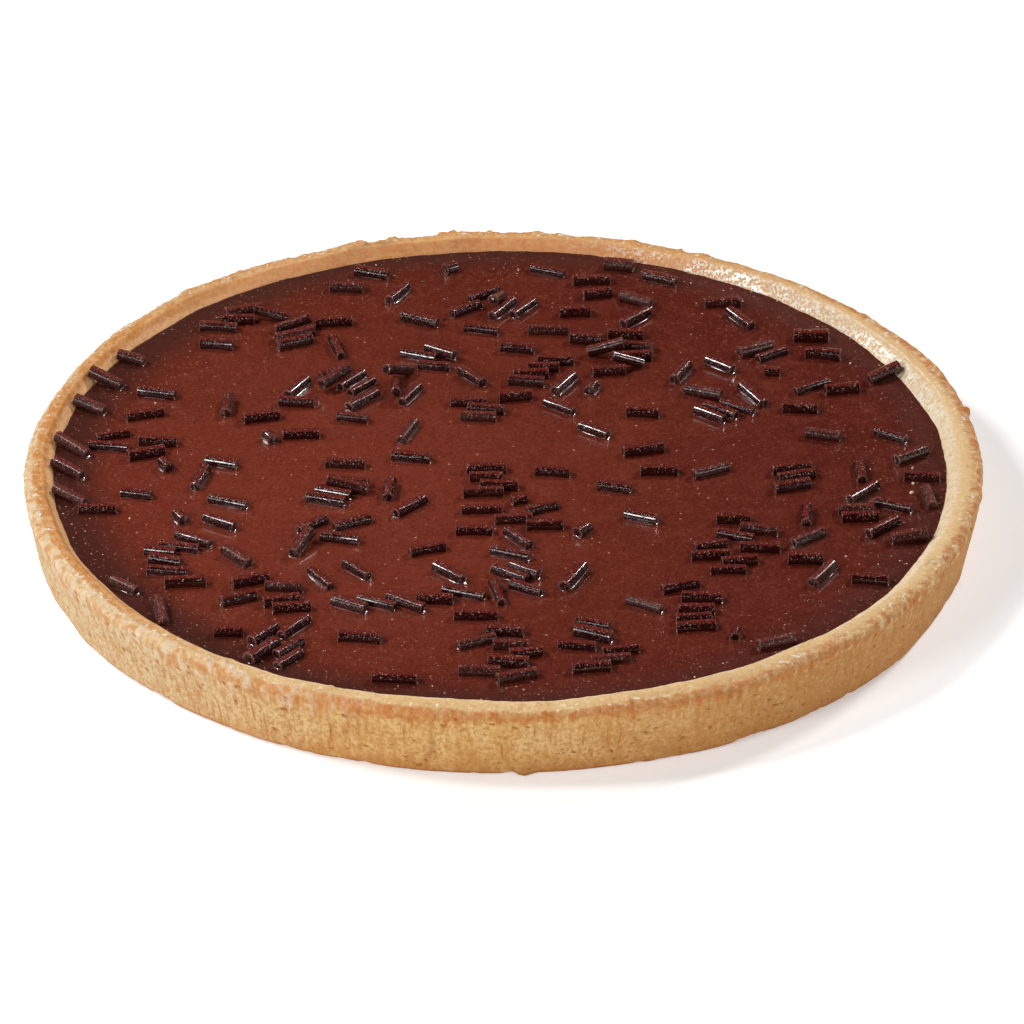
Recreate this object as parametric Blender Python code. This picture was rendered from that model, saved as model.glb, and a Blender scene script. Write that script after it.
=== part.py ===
"""A round chocolate tart: a baked shortcrust pastry case and the chocolate filling set in it.

Units are metres, +Z is up, and the origin is the centre of the flat underside. +X is the side where
the rim is widest. Both pieces are turned sections whose rings are pushed a little out of true, the way
hand-lined pastry sits, so the rim, its inner lip and the filling's edge all wander together.
"""

import math

import bmesh
import bpy
from mathutils import Vector

# Driving dimensions of the case
RIM_RADIUS = 0.120  # outside of the rim
CASE_HEIGHT = 0.019  # underside to the top of the rim
BASE_RADIUS = 0.117  # outside of the wall at its foot: the wall leans out a little
FLOOR_THICKNESS = 0.0045
FOOT_ROUNDING = 0.0011
SHOULDER_ROUNDING = 0.0019  # outer top edge of the rim
RIM_CROWN = 0.0001  # the middle of the rim's top stands this far above its edges
LIP_RADIUS = 0.1152  # where the rim's top starts to round over into the hollow
LIP_ROUNDING = 0.0011
LIP_TURN = 43  # degrees that the lip turns down before the inner slope runs straight
INNER_FLOOR_RADIUS = 0.1095
FLOOR_FILLET = 0.0025
INNER_SHIFT = Vector((-0.0010, 0.0009))  # the hollow sits off centre, so the rim is wider at +X

# Driving dimensions of the filling
FILLING_RADIUS = 0.1120  # where the filling's surface meets the wall
FILLING_DEPTH_BELOW_RIM = 0.0026
MENISCUS_WIDTH = 0.0035  # the filling climbs the wall over this distance
MENISCUS_RISE = 0.0005
MENISCUS_STEPS = (0.0, 0.3, 0.65, 1.0)  # where its curve has points, as shares of its width
GAP = 0.0003  # between the filling and the case

SEGMENTS = 160  # round the axis
EDGE_STEPS = 2  # along a small rounded corner
ROUND_STEPS = 3  # along a larger one
SMOOTHEST_EDGE = 40  # degrees between two faces above which their edge stays sharp

# How the case departs from a true circle: (order, phase in radians, size in metres) of each wave
RIM_HEIGHT_WAVES = (
    (3, 0.6, 0.00016),
    (7, 2.2, 0.00012),
    (12, 4.1, 0.00013),
    (19, 1.3, 0.00010),
    (31, 5.2, 0.00008),
)
OUTER_WAVES = ((5, 1.1, 0.00018), (11, 3.0, 0.00014), (17, 0.4, 0.00011), (29, 2.6, 0.00008))
FOOT_WAVES = ((6, 0.2, 0.00016), (13, 3.6, 0.00014), (22, 1.9, 0.00012), (37, 4.4, 0.00010))
LIP_WAVES = ((4, 2.9, 0.00025), (9, 0.7, 0.00022), (15, 5.0, 0.00018), (26, 3.3, 0.00014))
# Broad bulges and flats of the outside: (azimuth in degrees, spread in degrees, size in metres)
OUTER_BULGES = (
    (26, 15, 0.0012),
    (128, 10, 0.0008),
    (160, 13, -0.0011),
    (212, 14, 0.0006),
    (276, 7, -0.0006),
)
BULGE_AT_FOOT = 0.35  # share of a bulge that is still there at the foot of the wall
# The same for the inner lip and the filling's edge with it
LIP_BULGES = ((162, 16, -0.0010), (228, 26, 0.0008), (322, 34, 0.0009))


def between(value, low, high):
    """How far a value has come from low to high, from 0 to 1."""
    return min(max((value - low) / (high - low), 0), 1)


def wave(waves, azimuth):
    return sum(size * math.sin(order * azimuth + phase) for order, phase, size in waves)


def bulge(bulges, azimuth):
    """How far the outside or the lip stands proud of its circle at this azimuth."""
    total = 0.0
    for centre, spread, size in bulges:
        away = (math.degrees(azimuth) - centre + 180) % 360 - 180
        total += size * math.exp(-((away / spread) ** 2))
    return total


def arc(centre_radius, centre_height, rounding, start, end, steps):
    """Points (radius, height) of a rounded corner, its angles in degrees from the outward direction."""
    points = []
    for step in range(steps + 1):
        angle = math.radians(start + (end - start) * step / steps)
        radius = centre_radius + rounding * math.cos(angle)
        points.append((radius, centre_height + rounding * math.sin(angle)))
    return points


def case_section():
    """The case from the foot up the outside, over the rim and down to the inside floor."""
    foot = (BASE_RADIUS - FOOT_ROUNDING, FOOT_ROUNDING)
    shoulder = (RIM_RADIUS - SHOULDER_ROUNDING, CASE_HEIGHT - SHOULDER_ROUNDING)
    lip = (LIP_RADIUS, CASE_HEIGHT - LIP_ROUNDING)
    corner = (INNER_FLOOR_RADIUS - FLOOR_FILLET, FLOOR_THICKNESS + FLOOR_FILLET)
    section = arc(*foot, FOOT_ROUNDING, -90, 0, EDGE_STEPS)
    section += [((BASE_RADIUS + RIM_RADIUS) / 2, CASE_HEIGHT / 2)]
    section += arc(*shoulder, SHOULDER_ROUNDING, 0, 90, ROUND_STEPS)
    section += [((shoulder[0] + LIP_RADIUS) / 2, CASE_HEIGHT + RIM_CROWN)]
    section += arc(*lip, LIP_ROUNDING, 90, 90 + LIP_TURN, EDGE_STEPS)
    section += [(FILLING_RADIUS, CASE_HEIGHT - FILLING_DEPTH_BELOW_RIM)]
    section += arc(*corner, FLOOR_FILLET, 0, -90, ROUND_STEPS)
    return section


def filling_section():
    """The filling from the edge of its underside up its side, and its top as far as the meniscus goes."""
    top = CASE_HEIGHT - FILLING_DEPTH_BELOW_RIM
    edge = FILLING_RADIUS - GAP
    corner = (INNER_FLOOR_RADIUS - FLOOR_FILLET - GAP, FLOOR_THICKNESS + GAP + FLOOR_FILLET)
    section = arc(*corner, FLOOR_FILLET, -90, 0, EDGE_STEPS)
    section += [(edge, top - MENISCUS_RISE / 2)]
    for share in MENISCUS_STEPS:
        rise = MENISCUS_RISE * (1 - share) ** 2
        section += [(edge - MENISCUS_WIDTH * share, top - MENISCUS_RISE + rise)]
    return section


def out_of_true(radius, height, azimuth):
    """Moves a point of either section to where the uneven pastry puts it."""
    above = between(height, FLOOR_THICKNESS, CASE_HEIGHT)
    # The outside's share of the move grows over the whole of the rim's top, so that the top never folds
    on_top = height > CASE_HEIGHT / 2
    outer_edge = RIM_RADIUS - SHOULDER_ROUNDING if on_top else BASE_RADIUS
    outside = between(radius, LIP_RADIUS, outer_edge)
    inside = 1 - outside if height > FLOOR_THICKNESS / 2 else 0
    shoulder = between(height, CASE_HEIGHT - SHOULDER_ROUNDING, CASE_HEIGHT)
    bulged = BULGE_AT_FOOT + (1 - BULGE_AT_FOOT) * above
    radius += outside * bulged * (bulge(OUTER_BULGES, azimuth) + wave(OUTER_WAVES, azimuth))
    radius += outside * (1 - above) * wave(FOOT_WAVES, azimuth)
    radius += inside * above * (bulge(LIP_BULGES, azimuth) + wave(LIP_WAVES, azimuth))
    height += shoulder * wave(RIM_HEIGHT_WAVES, azimuth)
    place = Vector((math.cos(azimuth), math.sin(azimuth))) * radius + INNER_SHIFT * inside
    return Vector((*place, height))


def turned(name, section, material):
    """A solid turned from a section whose two ends are closed by flat faces across the axis."""
    mesh = bmesh.new()
    points = [mesh.verts.new((radius, 0, height)) for radius, height in section]
    edges = [mesh.edges.new(pair) for pair in zip(points, points[1:])]
    bmesh.ops.spin(
        mesh, geom=points + edges, axis=(0, 0, 1), angle=2 * math.pi, steps=SEGMENTS, use_merge=True
    )
    bmesh.ops.holes_fill(mesh, edges=mesh.edges[:], sides=SEGMENTS)
    for vertex in mesh.verts:
        azimuth = math.atan2(vertex.co.y, vertex.co.x)
        vertex.co = out_of_true(vertex.co.xy.length, vertex.co.z, azimuth)
    bmesh.ops.recalc_face_normals(mesh, faces=mesh.faces)
    data = bpy.data.meshes.new(name)
    mesh.to_mesh(data)
    mesh.free()
    data.shade_smooth()
    data.set_sharp_from_angle(angle=math.radians(SMOOTHEST_EDGE))
    data.materials.append(material)
    solid = bpy.data.objects.new(name, data)
    bpy.context.scene.collection.objects.link(solid)
    return solid


def finish(name, colour, roughness, coat=0.0):
    """A food's surface: its colour is linear, and its coat is the wet shine on top."""
    material = bpy.data.materials.new(name)
    material.use_nodes = True
    shader = material.node_tree.nodes["Principled BSDF"]
    shader.inputs["Base Color"].default_value = (*colour, 1)
    shader.inputs["Roughness"].default_value = roughness
    shader.inputs["Metallic"].default_value = 0
    shader.inputs["Coat Weight"].default_value = coat
    return material


def main():
    for old in list(bpy.data.objects):
        bpy.data.objects.remove(old)
    baked_pastry = finish("baked_pastry", (0.60, 0.36, 0.14), 0.75)
    set_chocolate = finish("set_chocolate", (0.115, 0.026, 0.016), 0.25, coat=0.5)
    turned("pastry_case", case_section(), baked_pastry)
    turned("chocolate_filling", filling_section(), set_chocolate)


main()
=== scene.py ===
import math
import random

import bmesh
import bpy
import numpy as np
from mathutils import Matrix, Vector, noise


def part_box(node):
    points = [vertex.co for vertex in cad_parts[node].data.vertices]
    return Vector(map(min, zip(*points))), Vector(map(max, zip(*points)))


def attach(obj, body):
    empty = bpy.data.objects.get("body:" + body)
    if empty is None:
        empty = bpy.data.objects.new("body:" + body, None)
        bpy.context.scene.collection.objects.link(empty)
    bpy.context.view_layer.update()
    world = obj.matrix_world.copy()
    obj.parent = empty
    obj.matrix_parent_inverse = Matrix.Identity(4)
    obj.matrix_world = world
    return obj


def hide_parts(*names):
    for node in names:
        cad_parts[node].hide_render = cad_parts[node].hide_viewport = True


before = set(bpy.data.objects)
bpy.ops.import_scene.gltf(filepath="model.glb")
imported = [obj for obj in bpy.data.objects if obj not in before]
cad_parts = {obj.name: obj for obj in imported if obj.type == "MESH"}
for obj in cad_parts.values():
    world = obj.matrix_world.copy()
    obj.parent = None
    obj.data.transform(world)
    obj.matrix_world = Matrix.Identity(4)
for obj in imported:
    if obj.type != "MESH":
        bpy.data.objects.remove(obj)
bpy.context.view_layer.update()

mm = 0.001


# ---- small helpers for node trees, shared by the shape trees and the materials ----

def addNode(tree, kind, **settings):
    node = tree.nodes.new(kind)
    for name, value in settings.items():
        setattr(node, name, value)
    return node


def feed(tree, socket, value):
    # value is another node's output, or a plain number, colour or vector
    if isinstance(value, bpy.types.NodeSocket):
        tree.links.new(value, socket)
    else:
        socket.default_value = value


def calc(tree, operation, *values):
    node = addNode(tree, "ShaderNodeMath", operation=operation)
    for socket, value in zip(node.inputs, values):
        feed(tree, socket, value)
    return node.outputs[0]


def total(tree, first, *others):
    for other in others:
        first = calc(tree, "ADD", first, other)
    return first


def product(tree, first, *others):
    for other in others:
        first = calc(tree, "MULTIPLY", first, other)
    return first


def vectorCalc(tree, operation, *values):
    node = addNode(tree, "ShaderNodeVectorMath", operation=operation)
    for socket, value in zip(node.inputs, values):
        feed(tree, socket, value)
    return node.outputs["Vector"]


def stretched(tree, vector, factor):
    # factor is one number for all three directions
    node = addNode(tree, "ShaderNodeVectorMath", operation="SCALE")
    feed(tree, node.inputs["Vector"], vector)
    feed(tree, node.inputs["Scale"], factor)
    return node.outputs["Vector"]


def joined(tree, x, y, z):
    node = addNode(tree, "ShaderNodeCombineXYZ")
    for socket, value in zip(node.inputs, (x, y, z)):
        feed(tree, socket, value)
    return node.outputs[0]


def parted(tree, vector):
    node = addNode(tree, "ShaderNodeSeparateXYZ")
    feed(tree, node.inputs[0], vector)
    return node.outputs[0], node.outputs[1], node.outputs[2]


def eased(tree, value, low, high, start=0.0, end=1.0):
    # from start to end while value goes from low to high, with soft ends
    node = addNode(tree, "ShaderNodeMapRange", interpolation_type="SMOOTHSTEP")
    for name, number in (("From Min", low), ("From Max", high), ("To Min", start), ("To Max", end)):
        feed(tree, node.inputs[name], number)
    feed(tree, node.inputs["Value"], value)
    return node.outputs["Result"]


def clouds(tree, place, size, detail=2.0, rough=0.5):
    # soft noise around 0.5, its lumps about this size
    node = addNode(tree, "ShaderNodeTexNoise")
    feed(tree, node.inputs["Vector"], place)
    feed(tree, node.inputs["Scale"], 1 / size if isinstance(size, float) else calc(tree, "DIVIDE", 1.0, size))
    feed(tree, node.inputs["Detail"], detail)
    feed(tree, node.inputs["Roughness"], rough)
    return node.outputs[0]


def cells(tree, place, size):
    # (distance to the nearest cell centre in cells, that cell's own random colour)
    node = addNode(tree, "ShaderNodeTexVoronoi")
    feed(tree, node.inputs["Vector"], place)
    feed(tree, node.inputs["Scale"], 1 / size if isinstance(size, float) else calc(tree, "DIVIDE", 1.0, size))
    return node.outputs["Distance"], node.outputs["Color"]


def blended(tree, share, first, second):
    # a colour between two colours
    node = addNode(tree, "ShaderNodeMix", data_type="RGBA")
    colourSockets = [socket for socket in node.inputs if socket.type == "RGBA"]
    feed(tree, node.inputs[0], share)
    feed(tree, colourSockets[0], first)
    feed(tree, colourSockets[1], second)
    return next(socket for socket in node.outputs if socket.type == "RGBA")


def startTree(name, treeType, inputs, outputs):
    tree = bpy.data.node_groups.new(name, treeType)
    for label, (kind, value) in inputs.items():
        socket = tree.interface.new_socket(label, in_out="INPUT", socket_type="NodeSocket" + kind)
        if value is not None:
            socket.default_value = value
    for label, kind in outputs.items():
        tree.interface.new_socket(label, in_out="OUTPUT", socket_type="NodeSocket" + kind)
    given = tree.nodes.new("NodeGroupInput").outputs
    made = tree.nodes.new("NodeGroupOutput").inputs
    return tree, given, made


def settled(name, mesh, tree, values):
    # runs a shape tree on a mesh and keeps what comes out as a plain mesh
    source = bpy.data.objects.new(name + "Source", mesh)
    bpy.context.scene.collection.objects.link(source)
    modifier = source.modifiers.new("shape", "NODES")
    modifier.node_group = tree
    for item in tree.interface.items_tree:
        if item.in_out == "INPUT" and item.name in values:
            modifier[item.identifier] = values[item.name]
    graph = bpy.context.evaluated_depsgraph_get()
    plain = bpy.data.meshes.new_from_object(source.evaluated_get(graph))
    source.modifiers.remove(modifier)
    bpy.data.objects.remove(source)
    plain.name = name
    piece = bpy.data.objects.new(name, plain)
    bpy.context.scene.collection.objects.link(piece)
    print(name, len(plain.vertices), "points", sum(len(p.vertices) - 2 for p in plain.polygons), "triangles")
    return piece


def dress(piece, slot, *nodes):
    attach(piece, "root")
    if nodes:
        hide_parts(*nodes)


# ---- the tart's own form, the same numbers as its solids ----

tart = {
    "rimRadius": 120 * mm,
    "height": 19 * mm,
    "baseRadius": 117 * mm,
    "floor": 4.5 * mm,
    "footRounding": 1.1 * mm,
    "shoulderRounding": 1.9 * mm,
    "crown": 0.1 * mm,
    "lipRadius": 115.2 * mm,
    "lipRounding": 1.1 * mm,
    "lipTurn": 43,
    "innerFloorRadius": 109.5 * mm,
    "innerShift": (-1.0 * mm, 0.9 * mm),
    "fillingRadius": 112 * mm,
    "fillingBelowRim": 2.6 * mm,
    "meniscusWidth": 3.5 * mm,
    "meniscusRise": 0.5 * mm,
    "bulgeAtFoot": 0.35,
    # (order, phase, size) of each wave round the tart
    "heightWaves": ((3, 0.6, 0.16), (7, 2.2, 0.12), (12, 4.1, 0.13), (19, 1.3, 0.10), (31, 5.2, 0.08)),
    "outerWaves": ((5, 1.1, 0.18), (11, 3.0, 0.14), (17, 0.4, 0.11), (29, 2.6, 0.08)),
    "footWaves": ((6, 0.2, 0.16), (13, 3.6, 0.14), (22, 1.9, 0.12), (37, 4.4, 0.10)),
    "lipWaves": ((4, 2.9, 0.25), (9, 0.7, 0.22), (15, 5.0, 0.18), (26, 3.3, 0.14)),
    # (azimuth and spread in degrees, size) of each bulge or flat of the outside and of the lip
    "outerBulges": ((26, 15, 1.2), (128, 10, 0.8), (160, 13, -1.1), (212, 14, 0.6), (276, 7, -0.6)),
    "lipBulges": ((162, 16, -1.0), (228, 26, 0.8), (322, 34, 0.9)),
}
caseLow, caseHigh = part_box("pastry_case")
assert abs((caseHigh - caseLow).x / 2 - tart["rimRadius"]) < 1 * mm
fillingLevel = tart["height"] - tart["fillingBelowRim"] - tart["meniscusRise"]


def between(value, low, high):
    return min(max((value - low) / (high - low), 0), 1)


def arcPoints(radius, height, rounding, start, end, steps):
    points = []
    for step in range(steps + 1):
        angle = math.radians(start + (end - start) * step / steps)
        points.append((radius + rounding * math.cos(angle), height + rounding * math.sin(angle)))
    return points


def evenly(path, count):
    # the same path with this many points, evenly spaced along it
    path = np.array(path)
    run = np.concatenate(([0], np.cumsum(np.linalg.norm(np.diff(path, axis=0), axis=1))))
    along = np.linspace(0, run[-1], count)
    return [(float(r), float(z)) for r, z in zip(np.interp(along, run, path[:, 0]), np.interp(along, run, path[:, 1]))]


def profileMesh(name, rows, areasOf):
    # one point for each row of a turned piece, with what the shape tree needs to know about it
    mesh = bpy.data.meshes.new(name)
    mesh.from_pydata([(r, 0, z) for r, z in rows], [(i, i + 1) for i in range(len(rows) - 1)], [])
    slants, moves, lifts, areas = [], [], [], []
    for i, (r, z) in enumerate(rows):
        before, after = rows[max(i - 1, 0)], rows[min(i + 1, len(rows) - 1)]
        tangent = Vector((after[0] - before[0], after[1] - before[1])).normalized()
        slants += [tangent.y, 0, -tangent.x]
        above = between(z, tart["floor"], tart["height"])
        # the outside's share of the move grows over the whole of the rim's top, so that the top never folds
        onTop = z > tart["height"] / 2
        outerEdge = tart["rimRadius"] - tart["shoulderRounding"] if onTop else tart["baseRadius"]
        outside = between(r, tart["lipRadius"], outerEdge)
        inside = 1 - outside if z > tart["floor"] / 2 else 0
        shoulder = between(z, tart["height"] - tart["shoulderRounding"], tart["height"])
        bulged = tart["bulgeAtFoot"] + (1 - tart["bulgeAtFoot"]) * above
        moves += [outside * bulged, outside * (1 - above), inside * above]
        lifts += [shoulder, inside, 0]
        areas += areasOf(i, r, z)
    for label, values in (("slant", slants), ("moves", moves), ("lifts", lifts), ("areas", areas)):
        attribute = mesh.attributes.new(label, "FLOAT_VECTOR", "POINT")
        attribute.data.foreach_set("vector", values)
    return mesh


def waveSum(tree, azimuth, waves):
    result = 0.0
    for order, phase, size in waves:
        angle = calc(tree, "MULTIPLY_ADD", azimuth, float(order), phase)
        result = calc(tree, "MULTIPLY_ADD", calc(tree, "SINE", angle), size * mm, result)
    return result


def bulgeSum(tree, azimuth, bulges):
    result = 0.0
    degrees = calc(tree, "DEGREES", azimuth)
    for centre, spread, size in bulges:
        away = calc(tree, "WRAP", calc(tree, "SUBTRACT", degrees, float(centre)), 180.0, -180.0)
        share = calc(tree, "DIVIDE", away, float(spread))
        fall = calc(tree, "EXPONENT", product(tree, share, share, -1.0))
        result = calc(tree, "MULTIPLY_ADD", fall, size * mm, result)
    return result


def turnedTree(name, inputs, relief):
    # turns the profile round the axis, pushes it out of true, then adds the piece's own relief
    common = {"Geometry": ("Geometry", None), "Segments": ("Int", 64), "Rows": ("Int", 8)}
    common["Material"] = ("Material", None)
    tree, given, made = startTree(name, "GeometryNodeTree", {**common, **inputs}, {"Geometry": "Geometry"})
    barrel = addNode(tree, "GeometryNodeMeshCylinder", fill_type="NGON")
    feed(tree, barrel.inputs["Vertices"], given["Segments"])
    feed(tree, barrel.inputs["Side Segments"], calc(tree, "SUBTRACT", given["Rows"], 1.0))
    feed(tree, barrel.inputs["Radius"], 1.0)
    feed(tree, barrel.inputs["Depth"], 1.0)
    x, y, z = parted(tree, tree.nodes.new("GeometryNodeInputPosition").outputs[0])
    azimuth = calc(tree, "ARCTAN2", y, x)
    # the barrel reaches from -0.5 to 0.5, one step of height for each row
    row = calc(tree, "ROUND", product(tree, total(tree, z, 0.5), calc(tree, "SUBTRACT", given["Rows"], 1.0)))

    def fromProfile(label):
        if label == "position":
            value = tree.nodes.new("GeometryNodeInputPosition").outputs[0]
        else:
            named = addNode(tree, "GeometryNodeInputNamedAttribute", data_type="FLOAT_VECTOR")
            named.inputs["Name"].default_value = label
            value = named.outputs["Attribute"]
        sample = addNode(tree, "GeometryNodeSampleIndex", data_type="FLOAT_VECTOR", domain="POINT")
        feed(tree, sample.inputs["Geometry"], given["Geometry"])
        feed(tree, sample.inputs["Value"], value)
        feed(tree, sample.inputs["Index"], row)
        return sample.outputs[0]

    radius, _, height = parted(tree, fromProfile("position"))
    slantOut, _, slantUp = parted(tree, fromProfile("slant"))
    outerMove, footMove, lipMove = parted(tree, fromProfile("moves"))
    lift, inside, _ = parted(tree, fromProfile("lifts"))
    areas = fromProfile("areas")
    outer = total(tree, bulgeSum(tree, azimuth, tart["outerBulges"]), waveSum(tree, azimuth, tart["outerWaves"]))
    lip = total(tree, bulgeSum(tree, azimuth, tart["lipBulges"]), waveSum(tree, azimuth, tart["lipWaves"]))
    radius = calc(tree, "MULTIPLY_ADD", outerMove, outer, radius)
    radius = calc(tree, "MULTIPLY_ADD", footMove, waveSum(tree, azimuth, tart["footWaves"]), radius)
    radius = calc(tree, "MULTIPLY_ADD", lipMove, lip, radius)
    height = calc(tree, "MULTIPLY_ADD", lift, waveSum(tree, azimuth, tart["heightWaves"]), height)
    across, along = calc(tree, "COSINE", azimuth), calc(tree, "SINE", azimuth)
    shiftX, shiftY = tart["innerShift"]
    place = joined(
        tree,
        calc(tree, "MULTIPLY_ADD", across, radius, product(tree, inside, shiftX)),
        calc(tree, "MULTIPLY_ADD", along, radius, product(tree, inside, shiftY)),
        height,
    )
    normal = joined(tree, product(tree, across, slantOut), product(tree, along, slantOut), slantUp)
    push, rise, stored = relief(tree, given, place, parted(tree, areas))
    place = vectorCalc(tree, "ADD", place, stretched(tree, normal, push))
    place = vectorCalc(tree, "ADD", place, joined(tree, 0.0, 0.0, rise))
    # nothing goes below the table
    place = vectorCalc(tree, "MAXIMUM", place, (-1.0, -1.0, 0.0))
    stored["areas"] = areas
    # every field is read from the barrel before it is moved
    geometry = barrel.outputs["Mesh"]
    for label, value in {**stored, "place": place}.items():
        vector = label in ("areas", "place")
        keep = addNode(tree, "GeometryNodeStoreNamedAttribute", domain="POINT")
        keep.data_type = "FLOAT_VECTOR" if vector else "FLOAT"
        keep.inputs["Name"].default_value = label
        feed(tree, keep.inputs["Geometry"], geometry)
        feed(tree, keep.inputs["Value"], value)
        geometry = keep.outputs["Geometry"]
    setPlace = tree.nodes.new("GeometryNodeSetPosition")
    recalled = addNode(tree, "GeometryNodeInputNamedAttribute", data_type="FLOAT_VECTOR")
    recalled.inputs["Name"].default_value = "place"
    feed(tree, setPlace.inputs["Geometry"], geometry)
    feed(tree, setPlace.inputs["Position"], recalled.outputs["Attribute"])
    smooth = tree.nodes.new("GeometryNodeSetShadeSmooth")
    feed(tree, smooth.inputs["Geometry"], setPlace.outputs["Geometry"])
    realize = tree.nodes.new("GeometryNodeRealizeInstances")
    feed(tree, realize.inputs["Geometry"], smooth.outputs["Geometry"])
    setMaterial = tree.nodes.new("GeometryNodeSetMaterial")
    feed(tree, setMaterial.inputs["Geometry"], realize.outputs["Geometry"])
    feed(tree, setMaterial.inputs["Material"], given["Material"])
    feed(tree, made["Geometry"], setMaterial.outputs["Geometry"])
    return tree


# ---- camera, light and floor ----

studio = {
    "lookAt": (2.3 * mm, 0, 3.0 * mm),
    "elevation": 30.76,
    "distance": 1.68,
    "lens": 234.5,
    "floorSize": 9.0,
    "floorColour": (0.86, 0.86, 0.86, 1),
    "floorGlow": 0.34,
    # soft boxes: where each stands from the tart, how far off and how wide in metres, and its power
    "softBoxes": {
        "key": ((-0.66, 0.05, 0.86), 1.3, 0.28, 7.6),
        "strip": ((-0.70, 0.45, 0.52), 1.3, 0.22, 3.0),
        "back": ((0.55, 0.50, 0.67), 1.4, 0.24, 8.0),
        "fill": ((-0.55, -0.65, 0.50), 0.9, 0.30, 3.3),
        "low": ((0.80, -0.50, 0.42), 1.2, 0.36, 2.2),
    },
    "skySides": 0.14,
    "skyDark": 0.01,
}


def softBox(name, direction, distance, size, power):
    light = bpy.data.lights.new(name, "AREA")
    light.shape = "DISK"
    light.size = size
    light.energy = power
    box = bpy.data.objects.new(name, light)
    box.location = Vector(direction).normalized() * distance
    box.rotation_euler = Vector(direction).to_track_quat("Z", "Y").to_euler()
    bpy.context.scene.collection.objects.link(box)


def makeSky():
    world = bpy.data.worlds.new("sky")
    bpy.context.scene.world = world
    world.use_nodes = True
    tree = world.node_tree
    # lit at the left and right only: in front, overhead and behind it is dark, as the gloss mirrors it
    side, _, _ = parted(tree, tree.nodes.new("ShaderNodeTexCoord").outputs["Generated"])
    light = eased(tree, calc(tree, "ABSOLUTE", side), 0.30, 0.75, studio["skyDark"], studio["skySides"])
    seen = tree.nodes.new("ShaderNodeLightPath").outputs["Is Camera Ray"]
    strength = calc(tree, "MAXIMUM", light, seen)
    feed(tree, tree.nodes["Background"].inputs["Color"], (1, 1, 1, 1))
    feed(tree, tree.nodes["Background"].inputs["Strength"], strength)


def makeStudio():
    camera = bpy.data.objects.new("camera", bpy.data.cameras.new("camera"))
    bpy.context.scene.collection.objects.link(camera)
    elevation = math.radians(studio["elevation"])
    back = Vector((0, -math.cos(elevation), math.sin(elevation)))
    camera.location = Vector(studio["lookAt"]) + back * studio["distance"]
    camera.rotation_euler = (math.pi / 2 - elevation, 0, 0)
    camera.data.lens = studio["lens"]
    camera.data.clip_start = 0.05
    bpy.context.scene.camera = camera
    for name, placing in studio["softBoxes"].items():
        softBox(name, *placing)
    makeSky()
    half = studio["floorSize"] / 2
    mesh = bpy.data.meshes.new("floor")
    mesh.from_pydata([(-half, -half, 0), (half, -half, 0), (half, half, 0), (-half, half, 0)], [], [(0, 1, 2, 3)])
    material = bpy.data.materials.new("paleFloor")
    material.use_nodes = True
    shader = material.node_tree.nodes["Principled BSDF"]
    shader.inputs["Base Color"].default_value = studio["floorColour"]
    shader.inputs["Roughness"].default_value = 0.9
    shader.inputs["Specular IOR Level"].default_value = 0.0
    shader.inputs["Emission Color"].default_value = (1, 1, 1, 1)
    shader.inputs["Emission Strength"].default_value = studio["floorGlow"]
    mesh.materials.append(material)
    floor = bpy.data.objects.new("floor", mesh)
    floor.location.z = -0.05 * mm
    bpy.context.scene.collection.objects.link(floor)
    bpy.context.scene.view_settings.view_transform = "Standard"


makeStudio()
print("studio ready")


# ---- effects that more than one material uses ----

def makeGrainGroup():
    # a height made of coarse and fine noise
    inputs = {
        "Place": ("Vector", None),
        "Coarse Size": ("Float", 2 * mm),
        "Fine Size": ("Float", 0.4 * mm),
        "Fine Share": ("Float", 0.4),
    }
    tree, given, made = startTree("surfaceGrain", "ShaderNodeTree", inputs, {"Height": "Float"})
    coarse = clouds(tree, given["Place"], given["Coarse Size"], 2.0)
    fine = clouds(tree, given["Place"], given["Fine Size"], 3.0, 0.6)
    keep = calc(tree, "SUBTRACT", 1.0, given["Fine Share"])
    feed(tree, made["Height"], total(tree, product(tree, coarse, keep), product(tree, fine, given["Fine Share"])))
    return tree


def makePepperGroup():
    # scattered dots: one in each cell that is picked, each of its own size
    inputs = {
        "Place": ("Vector", None),
        "Cell Size": ("Float", 2 * mm),
        "Dot Share": ("Float", 0.2),
        "Picked": ("Float", 0.5),
    }
    tree, given, made = startTree("pepper", "ShaderNodeTree", inputs, {"Mask": "Float"})
    distance, colour = cells(tree, given["Place"], given["Cell Size"])
    pick, size, _ = parted(tree, colour)
    reach = product(tree, given["Dot Share"], eased(tree, size, 0.0, 1.0, 0.4, 1.0))
    dot = eased(tree, calc(tree, "DIVIDE", distance, reach), 0.6, 1.0, 1.0, 0.0)
    picked = calc(tree, "LESS_THAN", pick, given["Picked"])
    feed(tree, made["Mask"], product(tree, dot, picked))
    return tree


grainGroup = makeGrainGroup()
pepperGroup = makePepperGroup()


def useGroup(tree, group, **values):
    node = addNode(tree, "ShaderNodeGroup", node_tree=group)
    for name, value in values.items():
        feed(tree, node.inputs[name.replace("_", " ")], value)
    return node.outputs[0]


def startMaterial(name, **constants):
    material = bpy.data.materials.new(name)
    material.use_nodes = True
    tree = material.node_tree
    shader = tree.nodes["Principled BSDF"]
    for label, value in constants.items():
        shader.inputs[label.replace("_", " ")].default_value = value
    return material, tree, shader


def attributeOf(tree, name, output="Fac"):
    node = addNode(tree, "ShaderNodeAttribute", attribute_name=name)
    return node.outputs[output]


def objectPlace(tree):
    return tree.nodes.new("ShaderNodeTexCoord").outputs["Object"]


def bumped(tree, shader, height, distance, strength=1.0):
    bump = tree.nodes.new("ShaderNodeBump")
    bump.inputs["Distance"].default_value = distance
    bump.inputs["Strength"].default_value = strength
    feed(tree, bump.inputs["Height"], height)
    feed(tree, shader.inputs["Normal"], bump.outputs["Normal"])


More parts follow.
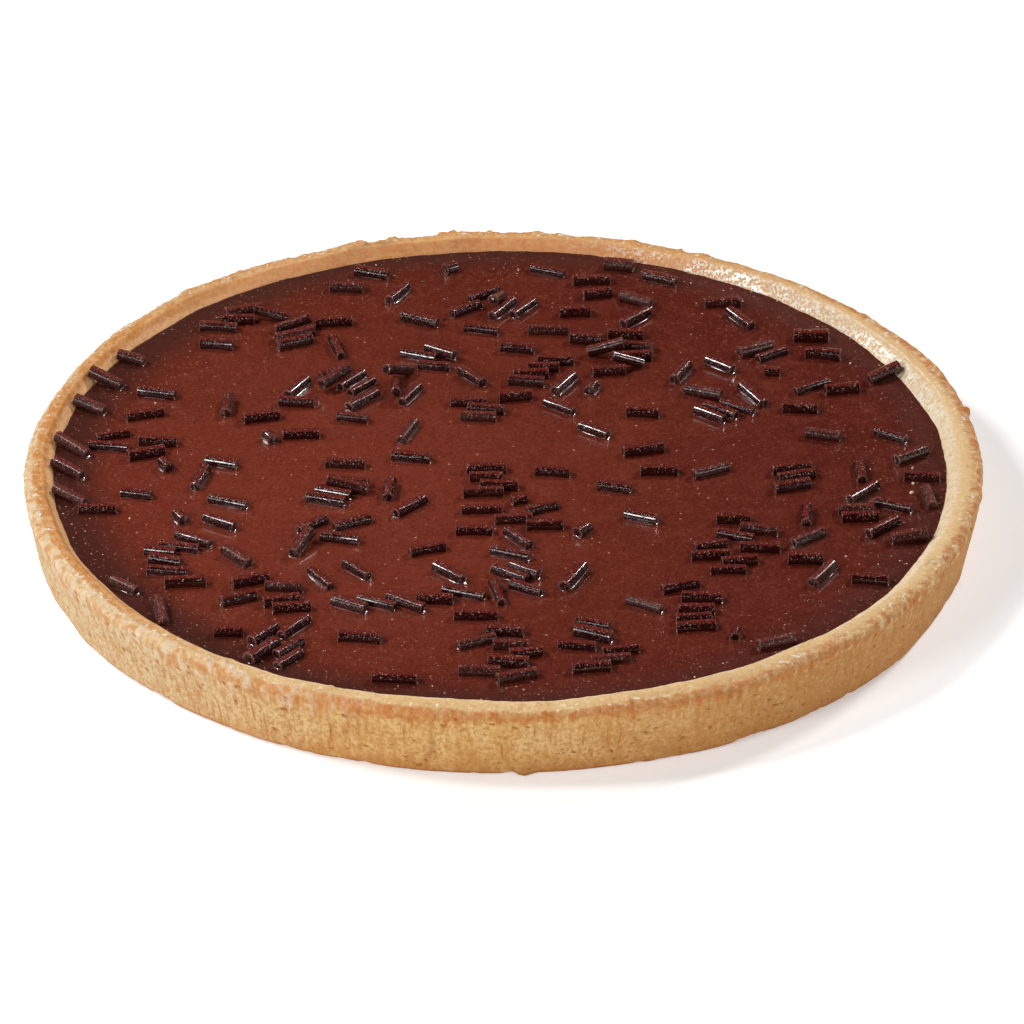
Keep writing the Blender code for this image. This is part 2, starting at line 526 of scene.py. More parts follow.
# ---- pastry case ----

crust = {
    "segments": 1100,
    "outsideRows": 56,
    "lipRows": 12,
    "slopeRows": 11,
    "crown": 0.22 * mm,
    "lumpSize": 6 * mm,
    "lumpHeight": 0.58 * mm,
    "swellSize": 17 * mm,
    "swellHeight": 0.45 * mm,
    "streakWidth": 1.3 * mm,
    "streakDepth": 0.20 * mm,
    "pitSpacing": 2.3 * mm,
    "pitDepth": 0.20 * mm,
    "grainSize": 0.9 * mm,
    "grainHeight": 0.19 * mm,
    "blisterSize": 2.2 * mm,
    "blisterHeight": 0.50 * mm,
    "nibSize": 2.9 * mm,
    "nibHeight": 0.8 * mm,
    "footGap": 0.7 * mm,
    # single marks: (azimuth in degrees, radius, height, spread and push in mm)
    "marks": (
        (11.7, 119.7, 18.2, 1.3, 1.3), (-87.5, 116.6, 0.8, 1.9, 1.2), (85.6, 119.0, 19.2, 1.2, 0.6),
        (82.8, 118.6, 19.2, 1.0, 0.5), (73.0, 119.0, 19.2, 1.4, 0.6), (-8.0, 119.8, 18.0, 2.2, 0.5),
        (-62.0, 118.5, 18.6, 2.4, -0.5), (-118.0, 118.5, 18.8, 2.0, -0.4), (38.0, 119.5, 18.4, 1.6, 0.5),
        (95.0, 118.5, 19.2, 5.0, 0.5), (110.0, 118.5, 19.2, 3.0, 0.4), (64.0, 119.0, 19.0, 2.2, 0.4),
    ),
    "pale": (0.76, 0.49, 0.20, 1),
    "sandy": (0.68, 0.38, 0.125, 1),
    "golden": (0.54, 0.240, 0.060, 1),
    "toasted": (0.58, 0.185, 0.038, 1),
    "topToasted": (0.62, 0.240, 0.050, 1),
    "pitBrownAndFootShade": (0.40, 0.125, 0.022, 1),
    "blisterPaleHighlight": (0.76, 0.57, 0.41, 1),
    "blisterBrownShade": (0.60, 0.230, 0.070, 1),
    "crumbly": (0.86, 0.64, 0.34, 1),
    "topPale": (0.85, 0.61, 0.32, 1),
    "paintedGlint": (1.0, 0.93, 0.80, 1),
    "leftPaintedSheen": (0.62, 0.53, 0.345, 1),
    "slopePale": (0.92, 0.79, 0.56, 1),
    "slopeToasted": (0.66, 0.240, 0.090, 1),
    "slopeLeftOrangeLit": (0.98, 0.480, 0.210, 1),
}


def crustRows():
    t = tart
    shoulder = (t["rimRadius"] - t["shoulderRounding"], t["height"] - t["shoulderRounding"])
    outside = arcPoints(t["baseRadius"] - t["footRounding"], t["footRounding"], t["footRounding"], -90, 0, 6)
    outside += arcPoints(*shoulder, t["shoulderRounding"], 0, 90, 10)
    # the top is a little fuller than the solid's, so that no edge of it looks cut
    flat = shoulder[0] - t["lipRadius"]
    outside += [(t["lipRadius"] + flat * share, t["height"] + crust["crown"]) for share in (0.75, 0.5)]
    lip = [outside[-1], (t["lipRadius"] + flat * 0.2, t["height"] + crust["crown"] * 0.6)]
    lip += arcPoints(t["lipRadius"], t["height"] - t["lipRounding"], t["lipRounding"], 90, 90 + t["lipTurn"], 5)
    filling = (t["fillingRadius"], t["height"] - t["fillingBelowRim"])
    # the slope goes on a little way under the filling's surface
    slope = [lip[-1], filling, (filling[0] - 0.6 * mm, filling[1] - 1.2 * mm)]
    rows = [(t["baseRadius"] - 14 * mm, 0.0), (t["baseRadius"] - 6 * mm, 0.0), (t["baseRadius"] - 2 * mm, 0.0)]
    rows += evenly(outside, crust["outsideRows"])
    rows += evenly(lip, crust["lipRows"])[1:]
    rows += evenly(slope, crust["slopeRows"])[1:]
    rows += [(t["innerFloorRadius"], t["floor"] + 2 * mm), (t["innerFloorRadius"] - 2.5 * mm, t["floor"])]
    return rows


def crustAreas(i, r, z):
    # how much of a row is outer wall, rim top and inner slope
    t = tart
    outer = r > t["baseRadius"] - 1 * mm and z > 0
    wall = between(z, 0, 1.5 * mm) * (1 - between(z, t["height"] - 2.2 * mm, t["height"] - 0.6 * mm)) if outer else 0
    top = between(z, t["height"] - 2.0 * mm, t["height"] - 0.5 * mm)
    slope = 1 - between(r, t["lipRadius"] - 0.8 * mm, t["lipRadius"] + 0.8 * mm)
    if z < t["floor"]:
        slope = 0
    top *= 1 - slope
    return [wall, top, slope]


def sweptPlace(tree, place):
    # a place whose noise is drawn out up the wall and across the rim
    x, y, z = parted(tree, place)
    away = calc(tree, "SQRT", total(tree, product(tree, x, x), product(tree, y, y)))
    around = calc(tree, "DIVIDE", tart["rimRadius"], away)
    drawn = product(tree, calc(tree, "SUBTRACT", z, away), 0.14)
    return joined(tree, product(tree, x, around), product(tree, y, around), drawn), away


def crustRelief(tree, given, place, areas):
    wall, top, slope = areas
    outer = total(tree, wall, top)
    swept, away = sweptPlace(tree, place)
    _, _, height = parted(tree, place)
    lumps = calc(tree, "SUBTRACT", clouds(tree, place, given["Lump Size"], 2.0), 0.5)
    lumps = product(tree, lumps, given["Lump Height"], 2.0, total(tree, top, product(tree, slope, 0.5)))
    swell = calc(tree, "SUBTRACT", clouds(tree, place, given["Swell Size"], 1.0), 0.5)
    swell = product(tree, swell, given["Swell Height"], 2.0, wall)
    patch = eased(tree, clouds(tree, place, 13 * mm, 1.0), 0.38, 0.62, 0.25, 1.0)
    streaks = product(tree, eased(tree, clouds(tree, swept, given["Streak Width"], 2.0), 0.50, 0.72), patch)
    streaks = product(tree, streaks, total(tree, wall, product(tree, top, 0.6)))
    warp = addNode(tree, "ShaderNodeTexNoise")
    feed(tree, warp.inputs["Vector"], place)
    feed(tree, warp.inputs["Scale"], 1 / (1.2 * mm))
    loose = vectorCalc(tree, "ADD", place, stretched(tree, warp.outputs["Color"], 1.6 * mm))
    distance, colour = cells(tree, vectorCalc(tree, "MULTIPLY", loose, (0.8, 0.8, 1.25)), given["Pit Spacing"])
    pick, size, _ = parted(tree, colour)
    reach = eased(tree, size, 0.0, 1.0, 0.12, 0.30)
    pits = eased(tree, calc(tree, "DIVIDE", distance, reach), 0.35, 1.0, 1.0, 0.0)
    pits = product(tree, pits, calc(tree, "LESS_THAN", pick, 0.5), total(tree, wall, product(tree, top, 0.3)))
    grain = calc(tree, "SUBTRACT", clouds(tree, place, given["Grain Size"], 3.0, 0.6), 0.5)
    grain = product(tree, grain, given["Grain Height"], 2.0, total(tree, outer, product(tree, slope, 0.4)))
    nibs = eased(tree, clouds(tree, place, given["Nib Size"], 1.0), 0.60, 0.76)
    nibs = product(tree, nibs, eased(tree, clouds(tree, place, 19 * mm, 0.0), 0.44, 0.6), given["Nib Height"], top)
    # small blisters under the shoulder, most of them at the front left
    x, y, _ = parted(tree, place)
    side = eased(tree, calc(tree, "DIVIDE", x, away), -0.10, -0.55, 0.25, 1.0)
    belt = product(tree, eased(tree, height, 12.5 * mm, 15.0 * mm), eased(tree, away, 116.5 * mm, 118.3 * mm))
    upright = vectorCalc(tree, "MULTIPLY", place, (1.0, 1.0, 0.5))
    blisters = calc(tree, "SUBTRACT", clouds(tree, upright, given["Blister Size"], 1.0), 0.5)
    blisters = product(tree, blisters, given["Blister Height"], 2.0, side, belt)
    push = total(tree, lumps, swell, grain, nibs, blisters)
    for azimuth, radius, level, spread, size in crust["marks"]:
        angle = math.radians(azimuth)
        spot = Vector((math.cos(angle) * radius, math.sin(angle) * radius, level)) * mm
        gap = addNode(tree, "ShaderNodeVectorMath", operation="DISTANCE")
        feed(tree, gap.inputs[0], place)
        feed(tree, gap.inputs[1], spot)
        share = calc(tree, "DIVIDE", gap.outputs["Value"], spread * mm)
        push = calc(tree, "MULTIPLY_ADD", calc(tree, "EXPONENT", product(tree, share, share, -1.0)), size * mm, push)
    push = calc(tree, "SUBTRACT", push, product(tree, streaks, given["Streak Depth"]))
    push = calc(tree, "SUBTRACT", push, product(tree, pits, given["Pit Depth"]))
    # the foot lifts off the table in places
    low = eased(tree, height, 0.0, 2.5 * mm, 1.0, 0.0)
    low = product(tree, low, eased(tree, away, tart["baseRadius"] - 3 * mm, tart["baseRadius"] - 1 * mm))
    flatPlace = vectorCalc(tree, "MULTIPLY", place, (1.0, 1.0, 0.0))
    rise = product(tree, eased(tree, clouds(tree, flatPlace, 6 * mm, 2.0), 0.45, 0.8), low, given["Foot Gap"])
    return push, rise, {"pits": total(tree, pits, product(tree, streaks, 0.35))}


def makePastryMaterial():
    material, tree, shader = startMaterial("bakedPastry", Specular_IOR_Level=0.3, Coat_Roughness=0.15, Coat_IOR=1.8)
    place = objectPlace(tree)
    wall, top, slope = parted(tree, attributeOf(tree, "areas", "Vector"))
    pits = attributeOf(tree, "pits")
    _, _, z = parted(tree, place)
    swept, away = sweptPlace(tree, place)
    east, north, _ = parted(tree, stretched(tree, place, calc(tree, "DIVIDE", 1.0, away)))
    broad = clouds(tree, place, 8 * mm, 3.0)
    ragged = calc(tree, "SUBTRACT", clouds(tree, place, 5 * mm, 4.0, 0.6), 0.5)
    mottled = clouds(tree, place, 2.2 * mm, 3.0, 0.65)
    grains = clouds(tree, place, 1.0 * mm, 3.0, 0.65)
    drawn = clouds(tree, swept, 1.5 * mm, 3.0)
    # sandy crumb: broad patches, upright streaks, then grains of a browner and a paler kind
    colour = blended(tree, eased(tree, broad, 0.36, 0.64), crust["pale"], crust["sandy"])
    # painted sheen: paler towards the left, where the light comes from; more golden towards the right
    colour = blended(tree, eased(tree, east, -0.20, -0.85, 0.0, 0.80), colour, crust["leftPaintedSheen"])
    colour = blended(tree, eased(tree, east, 0.00, 0.70, 0.0, 0.75), colour, crust["golden"])
    colour = blended(tree, product(tree, eased(tree, drawn, 0.48, 0.66), wall, 0.45), colour, crust["golden"])
    colour = blended(tree, product(tree, eased(tree, mottled, 0.50, 0.64), 0.55), colour, crust["golden"])
    colour = blended(tree, product(tree, eased(tree, grains, 0.49, 0.64), 0.70), colour, crust["golden"])
    colour = blended(tree, product(tree, eased(tree, grains, 0.46, 0.32), 0.38), colour, crust["crumbly"])
    scorch = product(tree, eased(tree, clouds(tree, place, 3.2 * mm, 4.0, 0.65), 0.54, 0.68), wall)
    colour = blended(tree, product(tree, scorch, 0.26), colour, crust["toasted"])
    crack = eased(tree, clouds(tree, swept, 0.95 * mm, 1.0), 0.60, 0.72)
    crack = product(tree, crack, eased(tree, clouds(tree, place, 7 * mm, 2.0), 0.44, 0.58), wall)
    colour = blended(tree, product(tree, crack, 0.7), colour, crust["toasted"])
    # darker and more golden towards the foot, less so at the left: partly a browner baked foot, partly painted shade
    # low on the wall
    foot = product(tree, eased(tree, z, 0.0, 7 * mm, 1.0, 0.0), eased(tree, mottled, 0.35, 0.65, 0.4, 1.0))
    foot = product(tree, foot, eased(tree, east, -0.75, -0.20, 0.15, 1.0))
    colour = blended(tree, product(tree, foot, total(tree, wall, 0.4), 0.9), colour, crust["golden"])
    # painted shadow: a dark brown line along the very foot, where it meets the table
    colour = blended(tree, product(tree, eased(tree, z, 1.5 * mm, 0.5 * mm), 0.75), colour, crust["pitBrownAndFootShade"])
    colour = blended(tree, product(tree, top, eased(tree, east, 0.3, 0.9, 0.5, 0.68)), colour, crust["topPale"])
    # toasting: the shoulder but for the left, the whole top at the left and the back, the slope there as well
    left = eased(tree, east, -0.35, -0.90)
    back = product(tree, eased(tree, north, 0.20, 0.80), eased(tree, east, 0.75, 0.25, 0.35, 1.0))
    right = eased(tree, east, 0.20, 0.85)
    outer = eased(tree, total(tree, away, product(tree, ragged, 3.0 * mm)), 116.4 * mm, 118.6 * mm)
    patchy = eased(tree, total(tree, product(tree, mottled, 0.8), product(tree, grains, 0.2)), 0.36, 0.62)
    edgeLine = eased(tree, total(tree, away, product(tree, ragged, 2.0 * mm)), 117.9 * mm, 119.0 * mm)
    edgeLine = calc(tree, "MAXIMUM", edgeLine, product(tree, outer, right, eased(tree, patchy, 0.0, 1.0, 0.6, 1.0)))
    run = product(tree, calc(tree, "SUBTRACT", drawn, 0.5), 5 * mm)
    lowest = eased(tree, total(tree, z, product(tree, ragged, 2.6 * mm), run), 15.2 * mm, 17.0 * mm)
    weaker = eased(tree, east, -0.15, -0.80, 1.0, 0.12)
    weaker = product(tree, weaker, eased(tree, east, 0.20, 0.75, 1.0, 0.50))
    columns = eased(tree, drawn, 0.40, 0.60, 0.72, 1.0)
    shoulder = product(tree, edgeLine, lowest, weaker, columns, eased(tree, patchy, 0.0, 1.0, 0.55, 1.0))
    wander = total(tree, away, product(tree, ragged, 2.0 * mm))
    inward = product(tree, eased(tree, wander, 118.3 * mm, 117.5 * mm), eased(tree, wander, 113.9 * mm, 114.7 * mm))
    dryShare = calc(tree, "SUBTRACT", 1.0, slope)
    leftBand = product(tree, left, inward, total(tree, top, slope), 0.95)
    onTop = calc(tree, "MAXIMUM", leftBand, product(tree, back, top, dryShare, 0.72))
    onTop = product(tree, onTop, eased(tree, patchy, 0.0, 1.0, 0.50, 1.0))
    colour = blended(tree, product(tree, shoulder, dryShare), colour, crust["toasted"])
    # the right shoulder is striped and mottled across, the left one blistered pink and white: paler with painted
    # highlight on the raised blisters, browner with painted shade in the dips between
    onRight = product(tree, outer, right, dryShare, eased(tree, z, 13 * mm, 17 * mm))
    creases = total(tree, product(tree, drawn, 0.3), product(tree, mottled, 0.7))
    tanned = eased(tree, total(tree, away, product(tree, ragged, 2.4 * mm)), 116.9 * mm, 118.2 * mm)
    tanned = product(tree, tanned, right, eased(tree, grains, 0.40, 0.58, 0.25, 0.60), top)
    tanned = product(tree, tanned, eased(tree, north, -0.35, 0.25, 0.25, 1.0))
    colour = blended(tree, tanned, colour, crust["toasted"])
    colour = blended(tree, product(tree, eased(tree, creases, 0.50, 0.60), onRight, 0.80), colour, crust["toasted"])
    colour = blended(tree, product(tree, eased(tree, creases, 0.47, 0.38), onRight, 0.75), colour, crust["crumbly"])
    belt = product(tree, eased(tree, z, 11.5 * mm, 14.5 * mm), outer, eased(tree, east, -0.15, -0.55))
    belt = product(tree, belt, calc(tree, "SUBTRACT", 1.0, leftBand))
    blisters = clouds(tree, vectorCalc(tree, "MULTIPLY", place, (1.0, 1.0, 0.5)), crust["blisterSize"], 1.0)
    colour = blended(tree, product(tree, belt, eased(tree, blisters, 0.50, 0.62), 0.65), colour, crust["blisterPaleHighlight"])
    colour = blended(tree, product(tree, belt, eased(tree, blisters, 0.48, 0.38), 0.55), colour, crust["blisterBrownShade"])
    sloped = blended(tree, back, crust["slopePale"], crust["slopeToasted"])
    # at the left the slope is orange and painted brighter: partly its own tone, partly painted light where the lamps
    # leave it in shade
    sloped = blended(tree, left, sloped, crust["slopeLeftOrangeLit"])
    sloped = blended(tree, product(tree, eased(tree, mottled, 0.38, 0.62), 0.36), sloped, crust["pale"])
    sloped = blended(tree, product(tree, eased(tree, grains, 0.52, 0.66), 0.42), sloped, crust["toasted"])
    colour = blended(tree, product(tree, slope, 0.85), colour, sloped)
    colour = blended(tree, onTop, colour, crust["topToasted"])
    colour = blended(tree, product(tree, eased(tree, pits, 0.04, 0.6), 0.90), colour, crust["pitBrownAndFootShade"])
    loose = vectorCalc(tree, "MULTIPLY", place, (1.0, 1.0, 1.5))
    loose = vectorCalc(tree, "ADD", loose, stretched(tree, joined(tree, ragged, mottled, grains), 2.2 * mm))
    dots = useGroup(tree, pepperGroup, Place=loose, Cell_Size=1.7 * mm, Dot_Share=0.34, Picked=0.75)
    dots = product(tree, dots, total(tree, wall, product(tree, top, 0.4)), eased(tree, z, 16 * mm, 5 * mm, 0.5, 1.0))
    dots = product(tree, dots, eased(tree, east, -0.75, -0.35, 0.35, 1.0))
    colour = blended(tree, product(tree, dots, 0.7), colour, crust["pitBrownAndFootShade"])
    flecks = useGroup(tree, pepperGroup, Place=loose, Cell_Size=1.3 * mm, Dot_Share=0.30, Picked=0.5)
    onFlecks = product(tree, eased(tree, away, 114.5 * mm, 116.5 * mm), top, eased(tree, east, 0.1, 0.5), eased(tree, north, 0.1, -0.3))
    colour = blended(tree, product(tree, flecks, onFlecks, 0.6), colour, crust["toasted"])
    # painted highlights: pale glint spots along the rim's outer edge and over its top, where it is also glossier
    spots = eased(tree, clouds(tree, place, 1.25 * mm, 2.0), 0.58, 0.67)
    crowd = eased(tree, clouds(tree, place, 6 * mm, 2.0), 0.38, 0.54, 0.15, 1.0)
    onLine = eased(tree, calc(tree, "ABSOLUTE", calc(tree, "SUBTRACT", away, 117.6 * mm)), 1.6 * mm, 0.5 * mm, 0.25, 1.0)
    onLine = calc(tree, "MAXIMUM", onLine, product(tree, left, 0.6))
    glossyPaintedGlints = product(tree, top, spots, crowd, onLine)
    colour = blended(tree, product(tree, glossyPaintedGlints, 0.75), colour, crust["paintedGlint"])
    # the slope inside the rim is wet and glossy, most of all at the back right; the wet patches carry painted
    # highlights, and a thin painted highlight line runs along the lip
    wetPatch = eased(tree, clouds(tree, place, 0.85 * mm, 2.0, 0.6), 0.48, 0.58)
    wetPatch = product(tree, wetPatch, eased(tree, clouds(tree, place, 6 * mm, 2.0), 0.36, 0.50, 0.25, 1.0))
    wetSide = product(tree, eased(tree, east, 0.10, 0.45), eased(tree, north, 0.0, 0.28))
    paintedLipHighlight = eased(tree, calc(tree, "ABSOLUTE", calc(tree, "SUBTRACT", away, 115.3 * mm)), 0.45 * mm, 0.15 * mm)
    wet = product(tree, slope, wetPatch, wetSide)
    lipSide = product(tree, eased(tree, east, 0.62, 0.80), eased(tree, north, 0.15, 0.35))
    paintedLipHighlight = product(tree, paintedLipHighlight, lipSide, eased(tree, mottled, 0.40, 0.52, 0.10, 0.45))
    # painted highlights: pale colour on the wet patches and along the lip
    colour = blended(tree, calc(tree, "MAXIMUM", product(tree, wet, 0.8), paintedLipHighlight), colour, crust["paintedGlint"])
    feed(tree, shader.inputs["Base Color"], colour)
    feed(tree, shader.inputs["Coat Weight"], product(tree, wet, 0.4))
    feed(tree, shader.inputs["Roughness"], calc(tree, "MULTIPLY_ADD", glossyPaintedGlints, -0.60, 0.80))
    height = useGroup(tree, grainGroup, Place=place, Coarse_Size=1.1 * mm, Fine_Size=0.42 * mm, Fine_Share=0.45)
    height = total(tree, height, -0.5, product(tree, crack, -0.3))
    height = total(tree, height, product(tree, calc(tree, "SUBTRACT", drawn, 0.5), outer, 0.5))
    # the lip turns too tightly for a rough surface
    nearLip = calc(tree, "ABSOLUTE", calc(tree, "SUBTRACT", away, 115.2 * mm))
    height = product(tree, height, calc(tree, "MULTIPLY_ADD", slope, -0.6, 1.0))
    height = product(tree, height, eased(tree, nearLip, 0.3 * mm, 1.3 * mm, 0.45, 1.0))
    bumped(tree, shader, height, 0.8 * mm, 0.9)
    return material


def makeCrust():
    rows = crustRows()
    inputs = {
        "Lump Size": ("Float", crust["lumpSize"]),
        "Lump Height": ("Float", crust["lumpHeight"]),
        "Swell Size": ("Float", crust["swellSize"]),
        "Swell Height": ("Float", crust["swellHeight"]),
        "Streak Width": ("Float", crust["streakWidth"]),
        "Streak Depth": ("Float", crust["streakDepth"]),
        "Pit Spacing": ("Float", crust["pitSpacing"]),
        "Pit Depth": ("Float", crust["pitDepth"]),
        "Grain Size": ("Float", crust["grainSize"]),
        "Grain Height": ("Float", crust["grainHeight"]),
        "Blister Size": ("Float", crust["blisterSize"]),
        "Blister Height": ("Float", crust["blisterHeight"]),
        "Nib Size": ("Float", crust["nibSize"]),
        "Nib Height": ("Float", crust["nibHeight"]),
        "Foot Gap": ("Float", crust["footGap"]),
    }
    tree = turnedTree("crustShape", inputs, crustRelief)
    mesh = profileMesh("crustProfile", rows, crustAreas)
    values = {"Segments": crust["segments"], "Rows": len(rows), "Material": makePastryMaterial()}
    piece = settled("pastryCrust", mesh, tree, values)
    dress(piece, "pastry", "pastry_case")
    return piece


makeCrust()
print("pastry case ready")


# ---- chocolate filling ----

filling = {
    "segments": 420,
    "rings": 84,
    "waveSize": 26 * mm,
    "waveHeight": 0.10 * mm,
    "rippleSize": 7 * mm,
    "rippleHeight": 0.018 * mm,
    "overlap": 0.35 * mm,
    # painted light: a pool of paler colour is painted round this spot, as if it were lit most here
    "paintedLightSpot": (-48 * mm, -12 * mm),  # the chocolate is palest here
    "paintedLightReach": 175 * mm,
    "brown": (0.178, 0.0292, 0.0145, 1),
    "deep": (0.088, 0.0100, 0.0050, 1),
    "milky": (0.245, 0.0530, 0.0295, 1),
    "speck": (0.62, 0.34, 0.22, 1),
    "paintedGlint": (0.92, 0.74, 0.60, 1),
    "edgeDark": (0.046, 0.0085, 0.0050, 1),
}


def fillingRows():
    t = tart
    edge = t["fillingRadius"] + filling["overlap"]
    top = t["height"] - t["fillingBelowRim"]
    rows = [(t["innerFloorRadius"] - 4 * mm, t["floor"] + 0.3 * mm), (t["innerFloorRadius"] - 0.5 * mm, t["floor"] + 1.5 * mm)]
    rows += [(edge, top - 0.6 * mm), (edge, top)]
    for step in range(1, 11):
        share = step / 10
        rows += [(edge - (t["meniscusWidth"] + filling["overlap"]) * share, fillingLevel + t["meniscusRise"] * (1 - share) ** 2.4)]
    inner = rows[-1][0]
    count = filling["rings"] - len(rows)
    for step in range(1, count + 1):
        rows += [(inner + (1.2 * mm - inner) * step / count, fillingLevel)]
    return rows


def fillingRelief(tree, given, place, areas):
    surface, _, _ = areas
    waves = calc(tree, "SUBTRACT", clouds(tree, place, given["Wave Size"], 1.0), 0.5)
    ripples = calc(tree, "SUBTRACT", clouds(tree, place, given["Ripple Size"], 1.0), 0.5)
    rise = total(
        tree,
        product(tree, waves, given["Wave Height"], 2.0),
        product(tree, ripples, given["Ripple Height"], 2.0),
    )
    return 0.0, product(tree, rise, surface), {}


def makeChocolateMaterial():
    material, tree, shader = startMaterial(
        "setChocolate", Specular_IOR_Level=0.3, Coat_Roughness=0.08, Coat_IOR=1.7
    )
    place = objectPlace(tree)
    shiftX, shiftY = tart["innerShift"]
    x, y, _ = parted(tree, vectorCalc(tree, "SUBTRACT", place, (shiftX, shiftY, 0.0)))
    fromMiddle = calc(tree, "SQRT", total(tree, product(tree, x, x), product(tree, y, y)))
    # painted light: paler brown near the painted light spot, darker further off, broken by broad patches
    lightSpotX, lightSpotY = filling["paintedLightSpot"]
    offX, offY = calc(tree, "SUBTRACT", x, lightSpotX), calc(tree, "SUBTRACT", y, lightSpotY)
    fromPaintedLight = calc(tree, "SQRT", total(tree, product(tree, offX, offX), product(tree, offY, offY)))
    patch = calc(tree, "SUBTRACT", clouds(tree, place, 24 * mm, 3.0), 0.5)
    awayFromPaintedLight = eased(tree, total(tree, fromPaintedLight, product(tree, patch, 90 * mm)), 0.0, filling["paintedLightReach"])
    colour = blended(tree, awayFromPaintedLight, filling["brown"], filling["deep"])
    veil = eased(tree, clouds(tree, place, 3.5 * mm, 3.0, 0.6), 0.42, 0.72)
    colour = blended(tree, product(tree, veil, 0.22), colour, filling["milky"])
    haze = clouds(tree, place, 0.7 * mm, 2.0)
    colour = blended(tree, product(tree, eased(tree, haze, 0.48, 0.70), 0.30), colour, filling["milky"])
    colour = blended(tree, product(tree, eased(tree, haze, 0.50, 0.32), 0.45), colour, filling["deep"])
    # darker and duller where the chocolate meets the pastry, darker and wider at the left
    ragged = calc(tree, "SUBTRACT", clouds(tree, place, 4 * mm, 3.0, 0.6), 0.5)
    wider = eased(tree, x, -30 * mm, -100 * mm, 0.0, 4 * mm)
    edgeDark = eased(tree, total(tree, fromMiddle, wider, product(tree, ragged, 5 * mm)), 98.0 * mm, 112.5 * mm)
    onLeft = eased(tree, x, -20 * mm, 60 * mm, 0.88, 0.55)
    colour = blended(tree, product(tree, edgeDark, onLeft), colour, filling["edgeDark"])
    nearEdge = eased(tree, fromMiddle, 60 * mm, 108 * mm)
    warp = addNode(tree, "ShaderNodeTexNoise")
    feed(tree, warp.inputs["Vector"], place)
    feed(tree, warp.inputs["Scale"], 1 / (0.5 * mm))
    loose = vectorCalc(tree, "ADD", place, stretched(tree, warp.outputs["Color"], 0.55 * mm))
    fine = useGroup(tree, pepperGroup, Place=loose, Cell_Size=0.95 * mm, Dot_Share=0.30, Picked=0.75)
    sparse = useGroup(tree, pepperGroup, Place=loose, Cell_Size=2.4 * mm, Dot_Share=0.14, Picked=0.55)
    gather = eased(tree, clouds(tree, place, 8 * mm, 2.0), 0.42, 0.66, 0.35, 1.0)
    fine = product(tree, fine, gather, eased(tree, nearEdge, 0.0, 1.0, 0.45, 1.0))
    speck = calc(tree, "MAXIMUM", product(tree, fine, 0.55), product(tree, sparse, 0.95))
    colour = blended(tree, product(tree, speck, 0.75), colour, filling["speck"])
    # near the edge some of them are painted white glints
    paintedGlintDots = useGroup(tree, pepperGroup, Place=loose, Cell_Size=1.7 * mm, Dot_Share=0.19, Picked=0.6)
    crowd = eased(tree, clouds(tree, place, 11 * mm, 2.0), 0.50, 0.64)
    paintedGlintDots = product(tree, paintedGlintDots, crowd, eased(tree, fromMiddle, 92 * mm, 108 * mm))
    colour = blended(tree, paintedGlintDots, colour, filling["paintedGlint"])
    speck = calc(tree, "MAXIMUM", speck, paintedGlintDots)
    feed(tree, shader.inputs["Base Color"], colour)
    feed(tree, shader.inputs["Roughness"], eased(tree, edgeDark, 0.0, 1.0, 0.34, 0.46))
    shine = calc(tree, "MAXIMUM", eased(tree, edgeDark, 0.0, 1.0, 0.30, 0.03), attributeOf(tree, "meniscus"))
    feed(tree, shader.inputs["Coat Weight"], shine)
    height = useGroup(tree, grainGroup, Place=place, Coarse_Size=2.4 * mm, Fine_Size=0.5 * mm, Fine_Share=0.3)
    height = total(tree, product(tree, height, 0.3), product(tree, speck, 1.2))
    bumped(tree, shader, height, 0.09 * mm, 0.7)
    return material


chocolate = makeChocolateMaterial()


def makeFilling():
    rows = fillingRows()
    inputs = {
        "Wave Size": ("Float", filling["waveSize"]),
        "Wave Height": ("Float", filling["waveHeight"]),
        "Ripple Size": ("Float", filling["rippleSize"]),
        "Ripple Height": ("Float", filling["rippleHeight"]),
    }
    tree = turnedTree("fillingShape", inputs, fillingRelief)
    mesh = profileMesh("fillingProfile", rows, lambda i, r, z: [between(i, 4, 14), 0, 0])
    values = {"Segments": filling["segments"], "Rows": len(rows), "Material": chocolate}
    piece = settled("chocolateTop", mesh, tree, values)
    dress(piece, "chocolate", "chocolate_filling")


makeFilling()
print("chocolate filling ready")


# ---- chocolate rods ----

